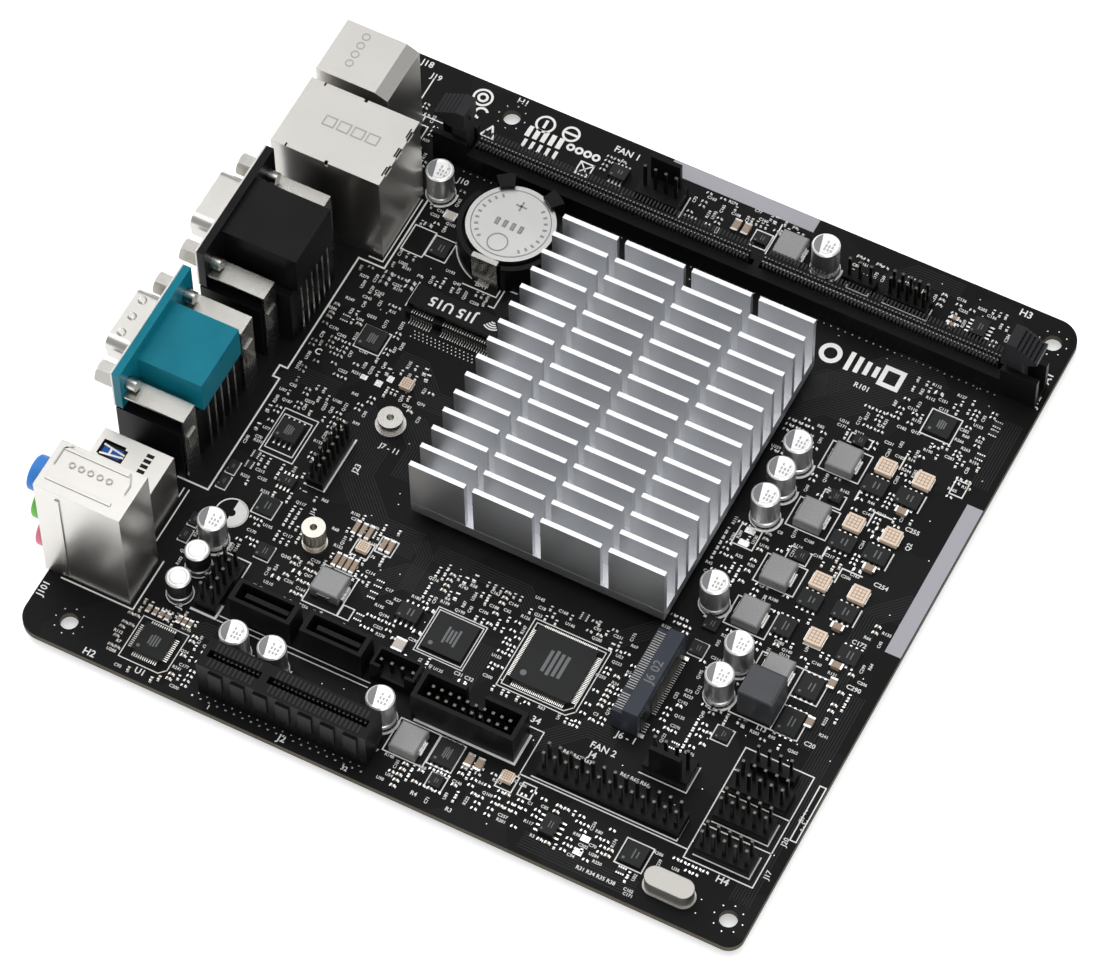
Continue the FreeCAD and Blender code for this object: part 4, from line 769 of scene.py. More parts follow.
# generic place names
LETTER_SHARE = 0.42     # half of a letter's width, as a share of its height
LABEL_GAP = 0.3
BIG_LABELS = [
    ("H1", 83.4, 51.6, 1.7, DOWN), ("H2", -83.5, 67.3, 1.7, DOWN), ("H3", 82.9, -71.8, 1.8, DOWN),
    ("H4", -71.5, -75.1, 1.7, DOWN), ("J12", 63.4, -83.0, 1.9, 0.0), ("J2", -83.3, 21.3, 1.7, DOWN),
    ("J101", -74.2, 83.7, 1.6, 0.0), ("J5 - 34", -55.4, -21.9, 1.6, DOWN), ("U1", -82.7, 55.5, 1.5, DOWN),
    ("J6 - 1", -50.6, -42.4, 1.6, DOWN), ("FAN 2", -55.2, -39.4, 1.6, DOWN), ("J4", -57.4, -38.0, 1.6, DOWN),
    ("FAN 1", 81.6, 24.6, 1.7, DOWN), ("J23", -17.9, 38.9, 1.4, 0.0), ("J7 - 11", -10.4, 35.0, 1.3, DOWN),
    ("R101", 49.7, -48.2, 1.3, DOWN), ("J8", -64.9, 56.0, 1.4, 0.0), ("J18", 83.2, 75.5, 1.7, DOWN),
    ("J19", 80.8, 72.0, 1.5, DOWN), ("BAT", 35.8, 37.0, 1.2, DOWN), ("J14", -31.6, 42.0, 1.0, 0.0),
    ("J10", 58.4, 53.5, 1.5, DOWN), ("J11", 78.0, -49.4, 1.2, DOWN), ("J21 + -", -50.4, -83.3, 0.9, 0.0),
    ("J17", -66.1, -82.8, 1.2, 0.0), ("J20", -57.6, -82.6, 1.2, 0.0), ("+ - + -", -52.4, -84.3, 0.8, 0.0),
    ("C", 4.6, 60.6, 1.6, DOWN), ("A1", 70.0, -83.0, 1.9, 0.0), ("1", -83.7, 38.6, 1.1, DOWN),
    ("32", -83.6, 6.4, 1.1, DOWN), ("1", -67.8, 53.5, 1.1, 0.0), ("1", -28.0, 46.0, 1.1, 0.0),
    ("1", -68.0, -2.0, 1.1, 0.0), ("C20", -34.8, -77.0, 1.1, DOWN), ("L13", -35.9, -66.4, 1.1, DOWN),
    ("C254", 6.4, -73.6, 1.1, DOWN), ("C255", 21.8, -73.6, 1.1, DOWN), ("C172", -8.3, -75.6, 1.1, DOWN),
    ("C290", -18.6, -79.3, 1.1, DOWN), ("Q2", 17.9, -74.6, 1.1, 0.0), ("L27", -76.9, 3.2, 1.1, DOWN),
    ("R31 R34 R35 R38", -82.2, -51.4, 0.9, DOWN), ("R4", -82.3, -9.2, 1.0, DOWN),
    ("R3", -82.4, -17.4, 1.0, DOWN), ("R61 R62 R63", -59.2, -35.4, 0.9, DOWN),
    ("R64 R65 R66", -58.6, -48.4, 0.9, DOWN), ("C31 C32", -52.9, -5.4, 0.9, DOWN),
]
for text, x, y, tall, turn in BIG_LABELS:
    legend.letters(text, x, y, tall, turn)
    long_side, short_side = tall * LETTER_SHARE * len(text) + LABEL_GAP, tall / 2 + LABEL_GAP
    if turn:
        long_side, short_side = short_side, long_side
    plan.take(x - long_side, y - short_side, x + long_side, y + short_side)

# a bold label and three arcs on top of the wireless card's socket
socket_top = corners("wireless_socket_housing")[1].z
legend.letters("J15 U15", 25.1, 38.4, 2.5, UP, socket_top - BURY, socket_top + INK, 0.03)
for radius in (0.5, 1.1, 1.7, 2.3):
    legend.ring(26.6, 28.9, radius, radius + 0.32, 10, math.radians(140.0), math.radians(80.0),
                socket_top - BURY, socket_top + INK)

# stretches kept clear for the plain marks
plan.take(70.2, 29.0, 84.4, 64.2)
plan.take(51.4, -56.2, 57.8, -35.0)
plan.take(16.4, 28.4, 19.6, 46.0)


# ---- small surface parts
def chip_part(name, long_side, wide, tall, body, end):
    """A resistor or capacitor chip on its two solder lands; lies along Y."""
    part = Piece(name)
    part.block(0.0, 0.0, 0.02, tall, wide, long_side - 2 * end, body)
    for side in (-1, 1):
        part.block(0.0, side * (long_side - end) / 2, 0.0, tall + 0.02, wide + 0.03, end, 0)
        part.block(0.0, side * (long_side + 0.06) / 2, 0.0, 0.08, wide + 0.04, end + 0.12, 0)
    return part.template()


def lead_pack(name):
    """Four resistors in one ceramic body, with four lands along each side."""
    part = Piece(name)
    part.block(0.0, 0.0, 0.02, 0.42, 0.95, 2.0, 1)
    for row in range(4):
        for side in (-1, 1):
            part.block(side * 0.68, -0.75 + row * 0.5, 0.0, 0.30, 0.42, 0.30, 0)
    return part.template()


SMALL_R = chip_part("resistor_small", 1.0, 0.5, 0.33, 1, 0.24)
SMALL_C = chip_part("capacitor_small", 1.0, 0.52, 0.5, 2, 0.25)
MEDIUM_R = chip_part("resistor_medium", 1.6, 0.82, 0.45, 1, 0.32)
FOUR_PACK = lead_pack("resistor_pack")
KINDS = [(SMALL_R, 0.34, 0.62), (SMALL_C, 0.34, 0.62), (MEDIUM_R, 0.5, 0.95), (FOUR_PACK, 1.0, 1.05)]
small_parts = Piece("small_chip_parts", pad_tin, part_black, part_tan)
power_parts = Piece("power_chip_parts", pad_tin, part_black, part_tan)
numbers = Piece("part_numbers", legend_white)
PART_GAP = 0.14
RIM = 0.8               # kept bare along the board's edges
KIND_LIMITS = (0.66, 0.84, 0.90)
CROSSED_ROWS = 0.12
WOBBLE = 0.03
NUMBER_TALL = 0.74
LETTER_HALF = 0.31
NUMBER_ROOM = 9.0       # square millimetres to each part number


def claim(x, y, half_x, half_y, gap):
    """Takes a rectangle of the board if it is free, gap included, and clear of the rim."""
    if max(abs(x) + half_x, abs(y) + half_y) > EDGE - RIM:
        return False
    if not plan.free(x - half_x - gap, y - half_y - gap, x + half_x + gap, y + half_y + gap):
        return False
    plan.take(x - half_x, y - half_y, x + half_x, y + half_y)
    return True


def settle(kind, x, y, turned, target):
    """Puts one small part down where the board is free. Turned parts lie along X."""
    template, half_x, half_y = KINDS[kind]
    if turned:
        half_x, half_y = half_y, half_x
    if claim(x, y, half_x, half_y, PART_GAP):
        target.stamp(template, x, y, QUARTER if turned else 0.0)


def field(x0, y0, x1, y1, step_x, step_y, turned, share, target):
    """Rows of small parts over a rectangle, one kind to a row, some left out."""
    rows = max(1, round((y1 - y0) / step_y))
    columns = max(1, round((x1 - x0) / step_x))
    for row in range(rows):
        draw, crossed = chance.random(), chance.random() < CROSSED_ROWS
        kind = sum(draw >= limit for limit in KIND_LIMITS)
        for column in range(columns):
            if chance.random() > share:
                continue
            x = x0 + (column + 0.5) * (x1 - x0) / columns
            y = y0 + (row + 0.5) * (y1 - y0) / rows + chance.uniform(-WOBBLE, WOBBLE)
            settle(kind, x, y, turned != crossed, target)


def number_beside(x0, y0, x1, y1):
    """Prints one short part number in a rectangle, if the place drawn for it is free."""
    text = chance.choice("RRRCCCUQ") + str(chance.randint(1, 299))
    turn = DOWN if chance.random() < 0.65 else 0.0
    x, y = chance.uniform(x0, x1), chance.uniform(y0, y1)
    half_x, half_y = LETTER_HALF * len(text) + 0.1, 0.42
    if turn:
        half_x, half_y = half_y, half_x
    if claim(x, y, half_x, half_y, 0.0):
        numbers.letters(text, x, y, NUMBER_TALL, turn)


# four solder lands along two sides of each power transistor
for low, high in solid_boxes("power_transistors"):
    for side, edge in ((-1, low.x), (1, high.x)):
        for index in range(4):
            x, y = edge + side * 0.42, (low.y + high.y) / 2 + (index - 1.5) * 1.27
            if plan.free(x - 0.35, y - 0.3, x + 0.35, y + 0.3):
                power_parts.block(x, y, TOP, TOP + 0.2, 0.62, 0.5)
                plan.take(x - 0.35, y - 0.3, x + 0.35, y + 0.3)

PART_FIELDS = [
    # between the rear ports and the heatsink
    (-2.0, 59.0, 4.0, 63.8, 1.2, 1.9, False), (5.0, 55.0, 12.4, 63.6, 1.25, 1.8, False),
    (13.0, 55.2, 25.0, 63.6, 1.2, 1.75, False), (25.4, 58.0, 29.6, 63.6, 1.2, 1.7, False),
    (4.6, 43.6, 9.0, 54.4, 1.3, 1.7, True), (0.4, 49.6, 4.0, 57.0, 1.2, 1.7, False),
    (16.0, 49.6, 23.0, 54.6, 1.3, 1.6, False), (10.0, 44.8, 19.4, 48.0, 1.2, 1.6, False),
    (16.6, 30.0, 19.6, 45.4, 1.25, 1.2, True), (31.0, 33.6, 34.2, 56.0, 1.3, 1.3, True),
    (35.2, 43.4, 44.6, 46.8, 1.3, 1.6, False), (44.0, 49.6, 50.0, 57.2, 1.3, 1.6, False),
    (31.4, 52.6, 36.0, 57.6, 1.3, 1.6, True), (57.4, 60.8, 69.0, 66.6, 1.2, 1.7, False),
    (26.0, 50.0, 30.2, 57.4, 1.3, 1.7, False), (-2.0, 32.6, 6.6, 36.6, 1.3, 1.7, False),
    (0.6, 36.8, 3.4, 43.0, 1.4, 1.1, True), (7.4, 35.6, 11.0, 42.4, 1.4, 1.1, True),
    (66.0, 66.8, 71.4, 71.2, 1.3, 1.6, False), (51.6, 51.4, 57.8, 55.0, 1.3, 1.6, False),
    (71.6, 64.4, 73.8, 71.2, 1.2, 1.6, False),
    # memory side
    (72.0, -2.2, 80.8, 6.2, 1.25, 1.7, False), (77.2, -20.2, 81.0, -2.8, 1.2, 1.15, True),
    (74.6, 23.4, 79.6, 30.2, 1.3, 1.6, False), (75.4, -40.2, 80.6, -32.4, 1.3, 1.5, False),
    (75.6, -54.8, 80.0, -43.2, 1.4, 1.6, False), (71.6, -61.8, 80.2, -57.0, 1.25, 1.7, False),
    (76.8, -70.6, 80.8, -61.6, 1.25, 1.5, True), (71.4, -71.0, 77.2, -66.4, 1.25, 1.6, False),
    # clock and supply chips at the front right
    (40.4, -80.0, 44.6, -67.4, 1.15, 1.1, True), (44.4, -79.4, 57.0, -72.2, 1.15, 1.75, False),
    (52.4, -72.0, 57.6, -55.6, 1.2, 1.1, True), (44.0, -63.8, 52.0, -55.8, 1.25, 1.6, False),
    (40.6, -57.6, 46.4, -50.6, 1.25, 1.6, False), (38.4, -66.6, 41.0, -59.6, 1.2, 1.4, True),
    (32.4, -80.0, 38.8, -75.8, 1.3, 1.7, False), (26.0, -46.8, 37.6, -37.6, 1.4, 1.6, False),
    # between the coils and the transistors
    (4.0, -64.4, 8.6, -58.4, 1.3, 1.15, True), (8.2, -64.4, 10.2, -59.6, 1.3, 1.15, True),
    (20.4, -64.4, 24.6, -58.4, 1.3, 1.15, True), (35.8, -64.4, 39.2, -58.4, 1.3, 1.15, True),
    (4.0, -57.8, 11.0, -48.2, 1.3, 1.6, False), (20.2, -57.8, 27.0, -48.2, 1.3, 1.6, False),
    (36.0, -57.8, 40.4, -48.2, 1.3, 1.6, False), (4.8, -68.2, 24.0, -65.0, 1.15, 1.7, False),
    (24.0, -68.2, 40.0, -65.0, 1.15, 1.7, False), (20.6, -73.0, 24.2, -68.4, 1.3, 1.3, True),
    (-8.0, -47.6, 8.0, -37.8, 1.5, 1.7, False), (-8.8, -64.6, -1.2, -58.6, 1.3, 1.4, True),
    (-20.0, -64.0, -14.4, -58.0, 1.3, 1.5, True), (-18.6, -75.0, -13.6, -66.0, 1.3, 1.4, True),
    (-37.0, -57.6, -17.0, -47.4, 1.5, 1.7, False), (-39.0, -76.0, -35.6, -57.0, 1.4, 1.3, True),
    (-33.0, -80.4, -2.0, -76.4, 1.6, 1.8, False), (-10.0, -57.6, -4.2, -48.0, 1.3, 1.6, False),
    # around the large controller and the headers
    (-53.6, -32.6, -32.2, -30.6, 1.2, 1.8, False), (-53.4, -31.0, -51.8, -11.6, 1.2, 1.15, True),
    (-33.2, -34.0, -28.0, -10.0, 1.3, 1.2, True), (-51.4, -12.0, -33.4, -8.6, 1.15, 1.7, False),
    (-30.0, -42.6, -19.0, -37.0, 1.4, 1.6, False), (-52.0, -37.0, -34.0, -33.0, 1.3, 1.7, False),
    (-48.6, -58.0, -36.6, -44.6, 1.5, 1.7, False), (-40.0, -8.2, -30.0, 12.0, 1.4, 1.5, True),
    (-52.2, 7.4, -40.2, 12.8, 1.2, 1.6, False), (-56.6, -6.4, -52.2, 8.4, 1.3, 1.2, True),
    (-60.6, -8.0, -56.8, 10.0, 1.5, 1.5, True),
    # front left corner
    (-80.6, -32.0, -70.0, -15.0, 1.5, 1.6, False), (-80.8, -52.4, -70.6, -33.0, 1.5, 1.7, False),
    (-81.0, -72.0, -70.6, -60.2, 1.4, 1.7, False), (-84.0, -60.0, -78.2, -53.0, 1.5, 1.7, False),
    (-83.4, -14.4, -74.8, 0.0, 1.5, 1.7, False), (-66.6, -86.0, -60.0, -83.6, 1.6, 1.6, False),
    # audio corner
    (-83.4, 44.8, -69.6, 50.2, 1.25, 1.7, False), (-70.0, 49.8, -65.6, 63.6, 1.2, 1.5, True),
    (-83.8, 50.4, -81.8, 62.6, 1.3, 1.3, True), (-81.6, 61.9, -70.6, 65.0, 1.2, 1.7, False),
    (-56.6, 57.6, -44.0, 61.8, 1.3, 1.7, False), (-48.0, 48.6, -38.2, 53.6, 1.3, 1.6, False),
    (-32.4, 47.4, -24.0, 60.6, 1.4, 1.6, True), (-24.4, 46.8, -9.6, 51.2, 1.2, 1.7, False),
    (-10.8, 50.4, -3.0, 63.6, 1.25, 1.7, True), (-24.0, 60.4, -6.0, 63.8, 1.25, 1.7, False),
    (-41.8, 40.8, -28.0, 46.8, 1.4, 1.6, True), (-43.0, 22.2, -27.4, 35.8, 1.45, 1.6, True),
    (-52.0, 33.8, -42.6, 43.8, 1.5, 1.7, False), (-58.0, 22.2, -52.8, 45.0, 1.5, 1.4, True),
    (-52.6, 13.0, -40.4, 21.8, 1.5, 1.7, False), (-73.0, 34.0, -69.4, 48.6, 1.3, 1.3, True),
    (-9.4, 43.6, 0.0, 49.8, 1.3, 1.7, False),
]
for x0, y0, x1, y1 in (row[:4] for row in PART_FIELDS):
    for attempt in range(round((x1 - x0) * (y1 - y0) / NUMBER_ROOM)):
        number_beside(x0, y0, x1, y1)
for x0, y0, x1, y1, step_x, step_y, turned in PART_FIELDS:
    share, target = (0.62, power_parts) if y1 < -44.0 else (0.70, small_parts)
    field(x0, y0, x1, y1, step_x, step_y, turned, share, target)
numbers.done()
small_parts.done()
power_parts.done()

# cream-coloured power coils with scored tops, and larger ceramic capacitors
cream = Piece("cream_coil_blocks", pad_cream, pad_groove, pad_tin, part_tan, crystal_grey)


def scored_block(x, y, side):
    cream.block(x, y, TOP, TOP + 1.35, side, side, bevel=0.12)
    for index in range(4):
        across = -side * 0.32 + index * side * 0.2133
        cream.block(x + across, y, TOP + 1.34, TOP + 1.37, 0.16, side * 0.74, 1)
        cream.block(x, y + across, TOP + 1.34, TOP + 1.372, side * 0.74, 0.16, 1)
    for end in (-1, 1):
        cream.block(x, y + end * (side / 2 + 0.08), TOP, TOP + 0.7, side * 0.8, 0.3, 2)


for x, y in CREAM_COILS:
    scored_block(x, y, 3.9)
scored_block(-35.0, 28.1, 2.5)
scored_block(5.4, 39.2, 2.6)
scored_block(-70.4, -24.9, 2.5)


def capped_block(x, y, wide, long_side, tall, body=3):
    """A large capacitor chip with its two tinned ends."""
    end, turn = 0.45, 0.0
    if wide > long_side:
        wide, long_side, turn = long_side, wide, QUARTER
    along = Vector((-math.sin(turn), math.cos(turn)))
    cream.block(x, y, TOP, TOP + tall, wide, long_side - 2 * end, body, turn)
    for side in (-1, 1):
        place = Vector((x, y)) + along * side * (long_side - end) / 2
        cream.block(*place, TOP, TOP + tall + 0.03, wide + 0.04, end, 2, turn)


for x, y in ((9.0, -69.6), (24.8, -69.6), (-7.0, -69.9), (-15.5, -73.8)):
    capped_block(x, y, 1.5, 2.9, 1.2)
for x, y in ((-30.3, -74.8), (-19.8, -74.9)):
    capped_block(x, y, 2.7, 1.6, 1.1)
for x, y in ((-70.5, -16.1), (-70.5, -18.4), (74.8, -5.6), (74.8, -8.0)):
    capped_block(x, y, 3.1, 1.6, 1.2)
for x, rows in ((-40.1, (31.8, 30.4, 29.0, 27.6)), (-31.2, (31.8, 30.2, 28.6))):
    for y in rows:
        capped_block(x, y, 3.6, 1.0, 0.8)
for y in (24.6, 23.0):
    capped_block(-32.3, y, 3.4, 1.1, 0.8)
for x, rows in ((-68.7, (61.2, 59.6, 58.1, 56.6)), (-68.1, (54.2, 52.9, 51.6))):
    for y in rows:
        capped_block(x, y, 2.0, 0.95, 0.7)
for x in (72.8, 74.6):
    capped_block(x, -58.6, 1.0, 2.0, 0.8)
capped_block(48.7, 51.5, 2.1, 2.9, 0.9, 4)
capped_block(-52.5, 10.1, 3.2, 2.5, 0.8, 4)
cream.done()

# ---- tinned dots, rings and tracks
joints = Piece("tinned_dots", pad_tin)


def dots(x, y0, y1, step, radius=0.28):
    """A line of tinned via dots along Y."""
    for index in range(int((y1 - y0) / step) + 1):
        joints.disc(x, y0 + index * step, SUNK, TOP + 0.05, radius, 8, 0, radius * 0.6)


dots(61.05, -74.5, 55.0, 1.7, 0.24)
dots(-82.6, 3.0, 43.0, 2.0, 0.30)
dots(-73.2, 4.0, 41.0, 1.6, 0.22)
dots(68.7, -74.0, 52.0, 2.6, 0.20)
for x in (17.2, 18.0, 18.8):
    dots(x, 29.6 + (x - 17.2) * 0.5, 44.6, 1.0, 0.2)
dots(-81.6, 4.0, 42.0, 2.0, 0.22)
for x, y in HOLES:
    for index in range(8):
        angle = index * math.tau / 8
        joints.disc(x + 3.2 * math.cos(angle), y + 3.2 * math.sin(angle), SUNK, TOP + 0.05, 0.26,
                    10, 0, 0.14)
for x, y, wide, long_side in ((3.0, -43.0, 1.5, 2.3), (6.3, -43.0, 1.5, 2.3), (-79.0, -45.7, 1.5, 2.0),
                              (-75.6, -45.7, 1.5, 2.0), (3.3, 45.0, 1.6, 1.6), (3.3, 48.6, 1.2, 1.6),
                              (5.4, 43.2, 1.6, 1.4)):
    joints.block(x, y, SUNK, TOP + 0.06, wide, long_side, bevel=0.02)
for index in range(220):
    x, y = chance.uniform(-83.0, 83.0), chance.uniform(-83.0, 62.0)
    over_sink = sink_low.x - 2 < x < sink_high.x + 2 and sink_low.y - 2 < y < sink_high.y + 2
    if not over_sink and plan.free(x - 0.4, y - 0.4, x + 0.4, y + 0.4):
        plan.take(x - 0.3, y - 0.3, x + 0.3, y + 0.3)
        joints.disc(x, y, SUNK, TOP + 0.04, 0.19, 8, 0, 0.12)
joints.done()

rings = Piece("hole_clearance_rings", mask_black)
for x, y in HOLES:
    rings.ring(x, y, 4.5, 4.75, 32, high=TOP + 0.035)
    rings.ring(x, y, 2.1, 4.3, 32)
rings.done()


def beside(points, distance):
    """The same route moved sideways by a distance, its bends mitred."""
    moved = []
    for index, point in enumerate(points):
        here = Vector(point)
        ways = []
        if index > 0:
            ways.append((here - Vector(points[index - 1])).normalized())
        if index < len(points) - 1:
            ways.append((Vector(points[index + 1]) - here).normalized())
        normals = [Vector((-way.y, way.x)) for way in ways]
        middle = sum(normals, Vector((0.0, 0.0))).normalized()
        moved.append(tuple(here + middle * (distance / max(0.4, middle.dot(normals[0])))))
    return moved


tracks = Piece("masked_tracks", track_black)
TRACK_BUNDLES = [
    (18, 0.62, [(34.0, -38.0), (40.0, -44.0), (40.0, -47.0), (58.0, -65.0)]),
    (9, 0.62, [(41.0, -38.5), (60.0, -57.5)]),
    (12, 0.60, [(-26.0, 18.0), (-26.0, 27.0), (-18.0, 35.0), (-10.0, 35.0), (-2.0, 43.0)]),
    (10, 0.60, [(-30.0, 4.0), (-34.0, 8.0), (-34.0, 18.0), (-42.0, 26.0)]),
    (9, 0.62, [(7.0, 24.0), (7.0, 32.0), (13.0, 38.0), (13.0, 44.0)]),
    (8, 0.62, [(-56.0, -8.0), (-50.0, -8.0), (-44.0, -8.0)]),
    (7, 0.62, [(-32.0, -13.0), (-27.0, -8.0), (-27.0, 14.0)]),
    (7, 0.62, [(-33.0, -30.0), (-26.0, -37.0), (-26.0, -43.0)]),
    (8, 0.60, [(-62.0, -27.0), (-54.0, -35.0), (-54.0, -41.0)]),
    (6, 0.62, [(-66.0, 46.0), (-66.0, 49.0), (-70.0, 53.0)]),
    (6, 0.62, [(30.0, 30.0), (33.0, 27.0), (44.0, 27.0)]),
    (9, 0.62, [(74.0, -41.0), (80.0, -47.0), (80.0, -57.0)]),
    (6, 0.62, [(72.0, 34.0), (72.0, 46.0)]),
    (8, 0.62, [(-84.0, -34.0), (-84.0, -60.0)]),
    (9, 0.62, [(-36.0, -78.0), (-2.0, -78.0), (4.0, -84.0)]),
    (8, 0.62, [(-76.0, -82.6), (-20.0, -82.6)]),
    (8, 0.62, [(38.0, -84.0), (56.0, -84.0)]),
    (10, 0.62, [(-16.0, 26.0), (-6.0, 26.0), (0.0, 32.0)]),
    (6, 0.60, [(-40.0, 14.0), (-30.0, 14.0), (-27.0, 17.0)]),
    (7, 0.62, [(-8.0, 64.0), (-4.0, 60.0), (-4.0, 52.0)]),
]
for count, pitch, route in TRACK_BUNDLES:
    for index in range(count):
        path = beside(route, index * pitch)
        if all(abs(x) < 84.0 and abs(y) < 84.0 for x, y in path):
            tracks.line(path, 0.24, SUNK, TOP + 0.022)
tracks.done()
legend.done()

# the underside: solder on every leg that comes through
under = Piece("underside_solder", pad_tin)
for name in ("pin_header_pins", "serial_port_pins", "monitor_port_pins", "battery_clip"):
    for low, high in solid_boxes(name):
        if low.z < 0:
            under.disc((low.x + high.x) / 2, (low.y + high.y) / 2, -0.75, 0.01, 0.42, 10, 0, 0.85)
for x, y0, count, pitch in ((-79.4, 4.6, 18, 2.0), (-75.6, 5.6, 18, 2.0)):
    for index in range(count):
        under.disc(x, y0 + index * pitch, -0.7, 0.01, 0.40, 10, 0, 0.75)
for name in ("usb_port_shield", "network_port_shield", "power_port_shield", "audio_port_shield"):
    low, high = corners(name)
    for x in (low.x + 0.7, high.x - 0.7):
        for y in (low.y + 2.0, high.y - 3.5):
            under.disc(x, y, -0.8, 0.01, 0.7, 12, 0, 1.25)
under.done()

# ---- contacts
MEMORY_PITCH = 0.85
EXPANSION_PITCH = 1.0
CARD_PITCH = 0.6


def contact_row(name, node, pitch, wide, long_side, reach=None):
    """Separate contacts along Y in place of a slot's plain strips, reaching below and above their top."""
    comb = Piece(name, contact_dull)
    for low, high in solid_boxes(node):
        count = round((high.y - low.y) / pitch)
        step = (high.y - low.y) / count
        bottom, top = (high.z - reach[0], high.z + reach[1]) if reach else (low.z, high.z)
        for index in range(count):
            comb.block((low.x + high.x) / 2, low.y + (index + 0.5) * step, bottom, top, wide, long_side)
    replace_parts(comb.done(), node)


contact_row("memory_contact_combs", "memory_slot_contacts", MEMORY_PITCH, 0.34, 0.42, (2.2, 4.4))
contact_row("expansion_contact_combs", "expansion_slot_contacts", EXPANSION_PITCH, 0.32, 0.5)


def card_comb(name, node, long_axis, lip_finish):
    """Fine leads and springs, one after another along each of a card socket's plain strips."""
    comb = Piece(name, contact_tin, contact_dull)
    for low, high in solid_boxes(node):
        span = high[long_axis] - low[long_axis]
        if span < 2.0:
            comb.block(*(low + high).xy / 2, low.z, high.z, *(high - low).xy)
            continue
        count = round(span / CARD_PITCH)
        across = 1 - long_axis
        for index in range(count):
            along = low[long_axis] + (index + 0.5) * span / count
            centre, sides = [0.0, 0.0], [0.0, 0.0]
            centre[long_axis], sides[long_axis] = along, 0.24
            centre[across], sides[across] = (low[across] + high[across]) / 2, high[across] - low[across]
            upright = high.z - low.z > 1.0
            lead_top = low.z + 0.25 if upright else high.z
            comb.block(*centre, low.z, lead_top + 0.01, *sides, lip_finish if low.z > TOP + 1.0 else 0)
            if upright:
                centre[across], sides[across] = high[across] - 0.1, 0.2
                comb.block(*centre, low.z, high.z, *sides, 1)
    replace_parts(comb.done(), node)


card_comb("storage_socket_comb", "storage_socket_contacts", 0, 1)
card_comb("wireless_socket_comb", "wireless_socket_contacts", 1, 0)

# fine ribs across the top of the two long slots, one between each pair of contacts
ribs = Piece("slot_guide_ribs", rib_grey)
for slot, pitch, reach in (("memory_slot", MEMORY_PITCH, 1.5), ("expansion_slot", EXPANSION_PITCH, 2.0)):
    rib_top = corners(slot + "_housing")[1].z + 0.10
    strips = solid_boxes(slot + "_contacts")
    centre = (strips[0][0].x + strips[-1][1].x) / 2
    for low, high in strips:
        side = 1 if low.x + high.x > 2 * centre else -1
        outer = centre + side * (0.9 + reach / 2)
        for index in range(int((high.y - low.y) / pitch)):
            ribs.block(outer, low.y + (index + 0.5) * pitch, rib_top - 0.12, rib_top, reach, pitch * 0.45)
ribs.done()

# ---- marks on parts
lids = Piece("capacitor_lid_marks", stripe_grey, print_grey)
for x, y, can_radius, top in round_cans("polymer_capacitors"):
    radius = can_radius - 0.42
    chord = lids.shape
    made = bmesh.ops.create_circle(chord, cap_ends=True, segments=28, radius=radius,
                                   matrix=Matrix.Translation((x, y, top)))
    faces = list(made["verts"][0].link_faces)
    edges = list(faces[0].edges)
    cut = bmesh.ops.bisect_plane(chord, geom=made["verts"] + edges + faces,
                                 plane_co=(x, y + radius * 0.42, 0.0), plane_no=(-0.25, 1.0, 0.0),
                                 clear_inner=True)
    kept = [face for face in cut["geom"] if isinstance(face, bmesh.types.BMFace) and face.is_valid]
    raised = bmesh.ops.extrude_face_region(chord, geom=kept)
    verts = [item for item in raised["geom"] if isinstance(item, bmesh.types.BMVert)]
    bmesh.ops.translate(chord, vec=(0.0, 0.0, 0.03), verts=verts)
    bmesh.ops.recalc_face_normals(chord, faces=chord.faces)
    for row in range(3):
        for column in range(3 - row % 2):
            lids.block(x - 1.1 + column * 1.0, y - 0.1 - row * 0.75, top - BURY, top + 0.02, 0.62, 0.40, 1)
lids.done()

marks = Piece("chip_marks", mark_grey, pad_tin)
storage_top = corners("storage_socket_housing")[1].z
marks.letters("J6 02", -38.2, -42.5, 2.1, 0.0, storage_top - BURY, storage_top + INK)
for low, high in solid_boxes("chip_packages") + solid_boxes("power_transistors"):
    wide, long_side = high.x - low.x, high.y - low.y
    marks.disc(low.x + wide * 0.16, high.y - long_side * 0.16, high.z - BURY, high.z + 0.012,
               0.045 * min(wide, long_side) + 0.1, 12, 0)
    rows = 2 if min(wide, long_side) < 5 else 4
    for row in range(rows):
        length = wide * chance.uniform(0.3, 0.5)
        marks.block((low.x + high.x) / 2, low.y + long_side * (0.34 + 0.36 * row / rows), high.z - BURY,
                    high.z + 0.01, length, long_side * 0.055, 0)
for low, high in solid_boxes("power_inductors"):
    x = (low.x + high.x) / 2
    marks.block(x, low.y - 0.25, TOP, TOP + 0.9, 3.6, 0.9, 1, bevel=0.15)
marks.done()

# ---- stamped shields
FLUSH = 0.002           # stampings level with the object's highest face
stampings = Piece("shield_stampings", shield_nickel, port_black, usb_blue, stamp_painted_shade)
low, high = corners("network_port_shield")
middle = (low.x + high.x) / 2
for x in (middle - 5.6, middle, middle + 5.6):
    stampings.block(x, low.y + 0.7, high.z - BURY, high.z + 0.02, 2.6, 0.35, 1)
# plain raised outlines where a maker would stamp a name, drawn in darker metal: painted shade along the
# stampings' creases
for index in range(4):
    y = high.y - 9.2 - index * 3.5
    stampings.line([(41.4, y - 1.3), (43.8, y - 1.3), (43.8, y + 1.3), (41.4, y + 1.3), (41.4, y - 1.3)],
                   0.3, high.z - BURY, high.z + 0.09, 3)
for side in (-1, 1):
    stampings.block(middle + side * 8.9, high.y - 3.6, high.z - BURY, high.z + 0.03, 0.9, 0.4, 1)
# stamped rings on the power port's shield, in the darker metal: painted shade
low, high = corners("power_port_shield")
for index in range(4):
    stampings.ring(57.4 + index * 2.6, 80.2, 0.7, 1.0, 14, low=high.z - BURY, high=high.z + 0.08, finish=3)
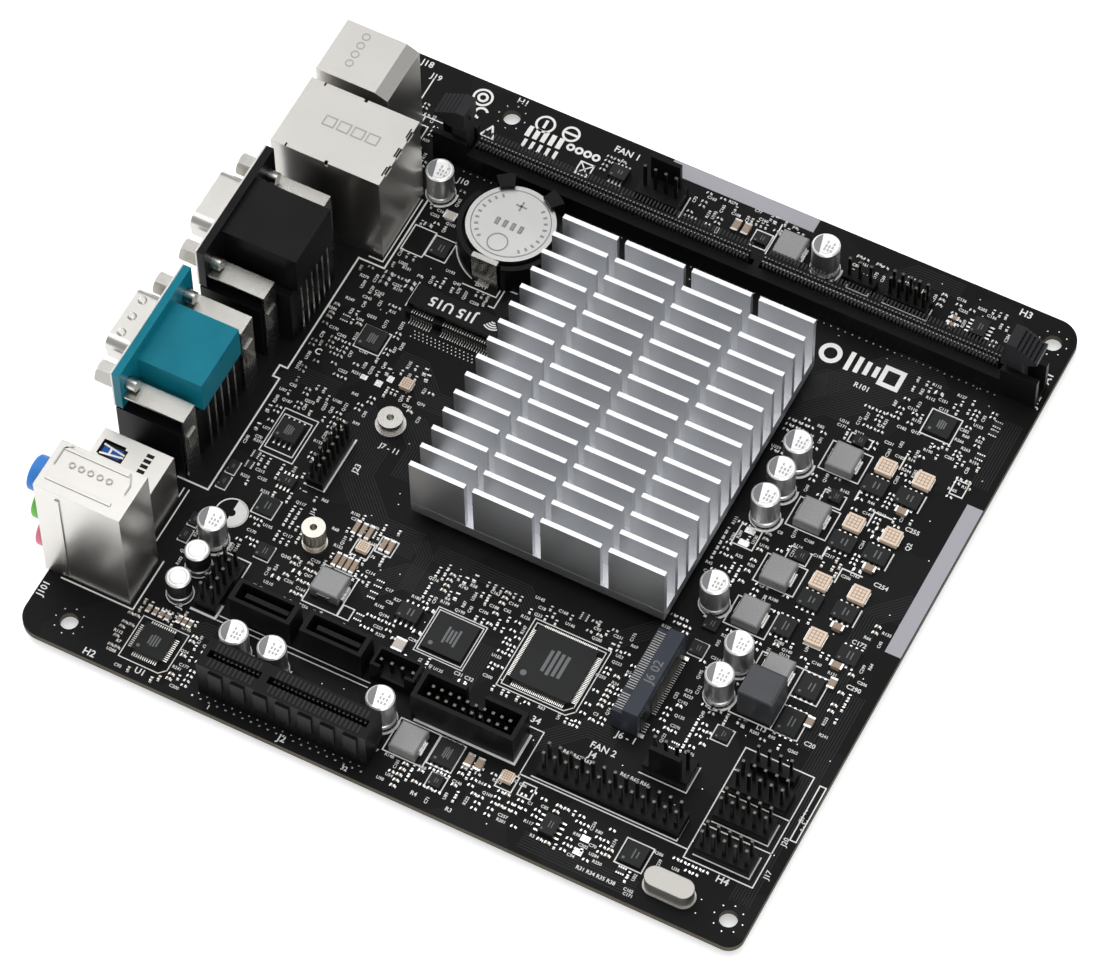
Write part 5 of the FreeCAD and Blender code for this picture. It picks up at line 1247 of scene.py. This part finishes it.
# lines and rings on the audio port's shield, level with its top: only their darker metal, painted shade,
# shows the stamping
low, high = corners("audio_port_shield")
stampings.line([(-63.2, 84.2), (-59.2, 84.2), (-57.9, 82.6)], 0.3, high.z - BURY, high.z + FLUSH, 3)
stampings.line([(-63.2, 67.4), (-61.0, 67.4), (-58.4, 68.6)], 0.3, high.z - BURY, high.z + FLUSH, 3)
for index in range(5):
    stampings.ring(-62.0, 80.6 - index * 2.2, 0.5, 0.75, 12, low=high.z - BURY,
                   high=high.z + FLUSH, finish=3)
# pressed dimples on the nine-pin port's shell
mouth = [vert.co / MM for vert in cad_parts["serial_port_shell"].data.vertices if vert.co.y > 88.0 * MM]
shell_top = max(corner.z for corner in mouth)
for x in (-25.6, -21.1, -16.6):
    stampings.disc(x, 90.0, shell_top - 0.02, shell_top + 0.35, 1.05, 18, 0, 0.65)
low, high = corners("usb_port_shield")
middle = (low.x + high.x) / 2
for x in (middle - 3.9, middle + 2.6):
    stampings.block(x, high.y - 4.6, high.z - BURY, high.z + 0.03, 3.4, 5.6, 1)
    stampings.block(x, high.y - 4.4, high.z + 0.02, high.z + 0.05, 2.4, 4.4, 2)
    for side in (-1, 1):
        stampings.block(x + side * 0.75, high.y - 4.6, high.z + 0.04, high.z + 0.22, 0.5, 5.4, 0,
                        side * -0.16, 0.06)
    stampings.block(x, high.y - 4.0, high.z + 0.04, high.z + 0.20, 1.4, 0.5, 0)
for index in range(4):
    stampings.block(-43.6 - index * 1.4, 73.8, high.z - BURY, high.z + 0.015, 0.9, 1.7, 1)
stampings.done()

cell_marks = Piece("cell_markings", cell_dull)
cell_top = cell_high.z
cell_marks.ring(cell_x, cell_y, 8.7, 8.95, 48, low=cell_top - BURY, high=cell_top + 0.05)
cell_marks.ring(cell_x - 5.6, cell_y + 0.4, 2.1, 2.4, 28, low=cell_top - BURY, high=cell_top + 0.05)
cell_marks.block(cell_x + 5.0, cell_y, cell_top - BURY, cell_top + 0.06, 2.6, 0.42)
cell_marks.block(cell_x + 5.0, cell_y, cell_top - BURY, cell_top + 0.06, 0.42, 2.6)
for index in range(4):
    cell_marks.block(cell_x - 0.6, cell_y + 3.0 - index * 1.9, cell_top - BURY, cell_top + 0.05, 1.9, 0.9,
                     bevel=0.1)
for index in range(9):
    angle = math.radians(40.0 + index * 12.5)
    cell_marks.block(cell_x + 7.6 * math.cos(angle), cell_y + 7.6 * math.sin(angle), cell_top - BURY,
                     cell_top + 0.05, 0.9, 0.5, 0, angle)
    angle -= math.pi
    cell_marks.block(cell_x + 7.6 * math.cos(angle), cell_y + 7.6 * math.sin(angle), cell_top - BURY,
                     cell_top + 0.05, 0.9, 0.5, 0, angle)
cell_marks.done("battery")

tongues = Piece("sata_tongue_contacts", contact_gold)
for low, high in solid_boxes("sata_ports"):
    for index in range(7):
        tongues.block((low.x + high.x) / 2 + 0.7, low.y + 4.4 + index * 1.0, high.z - 4.0, high.z - 1.9,
                      0.25, 0.5)
tongues.done()
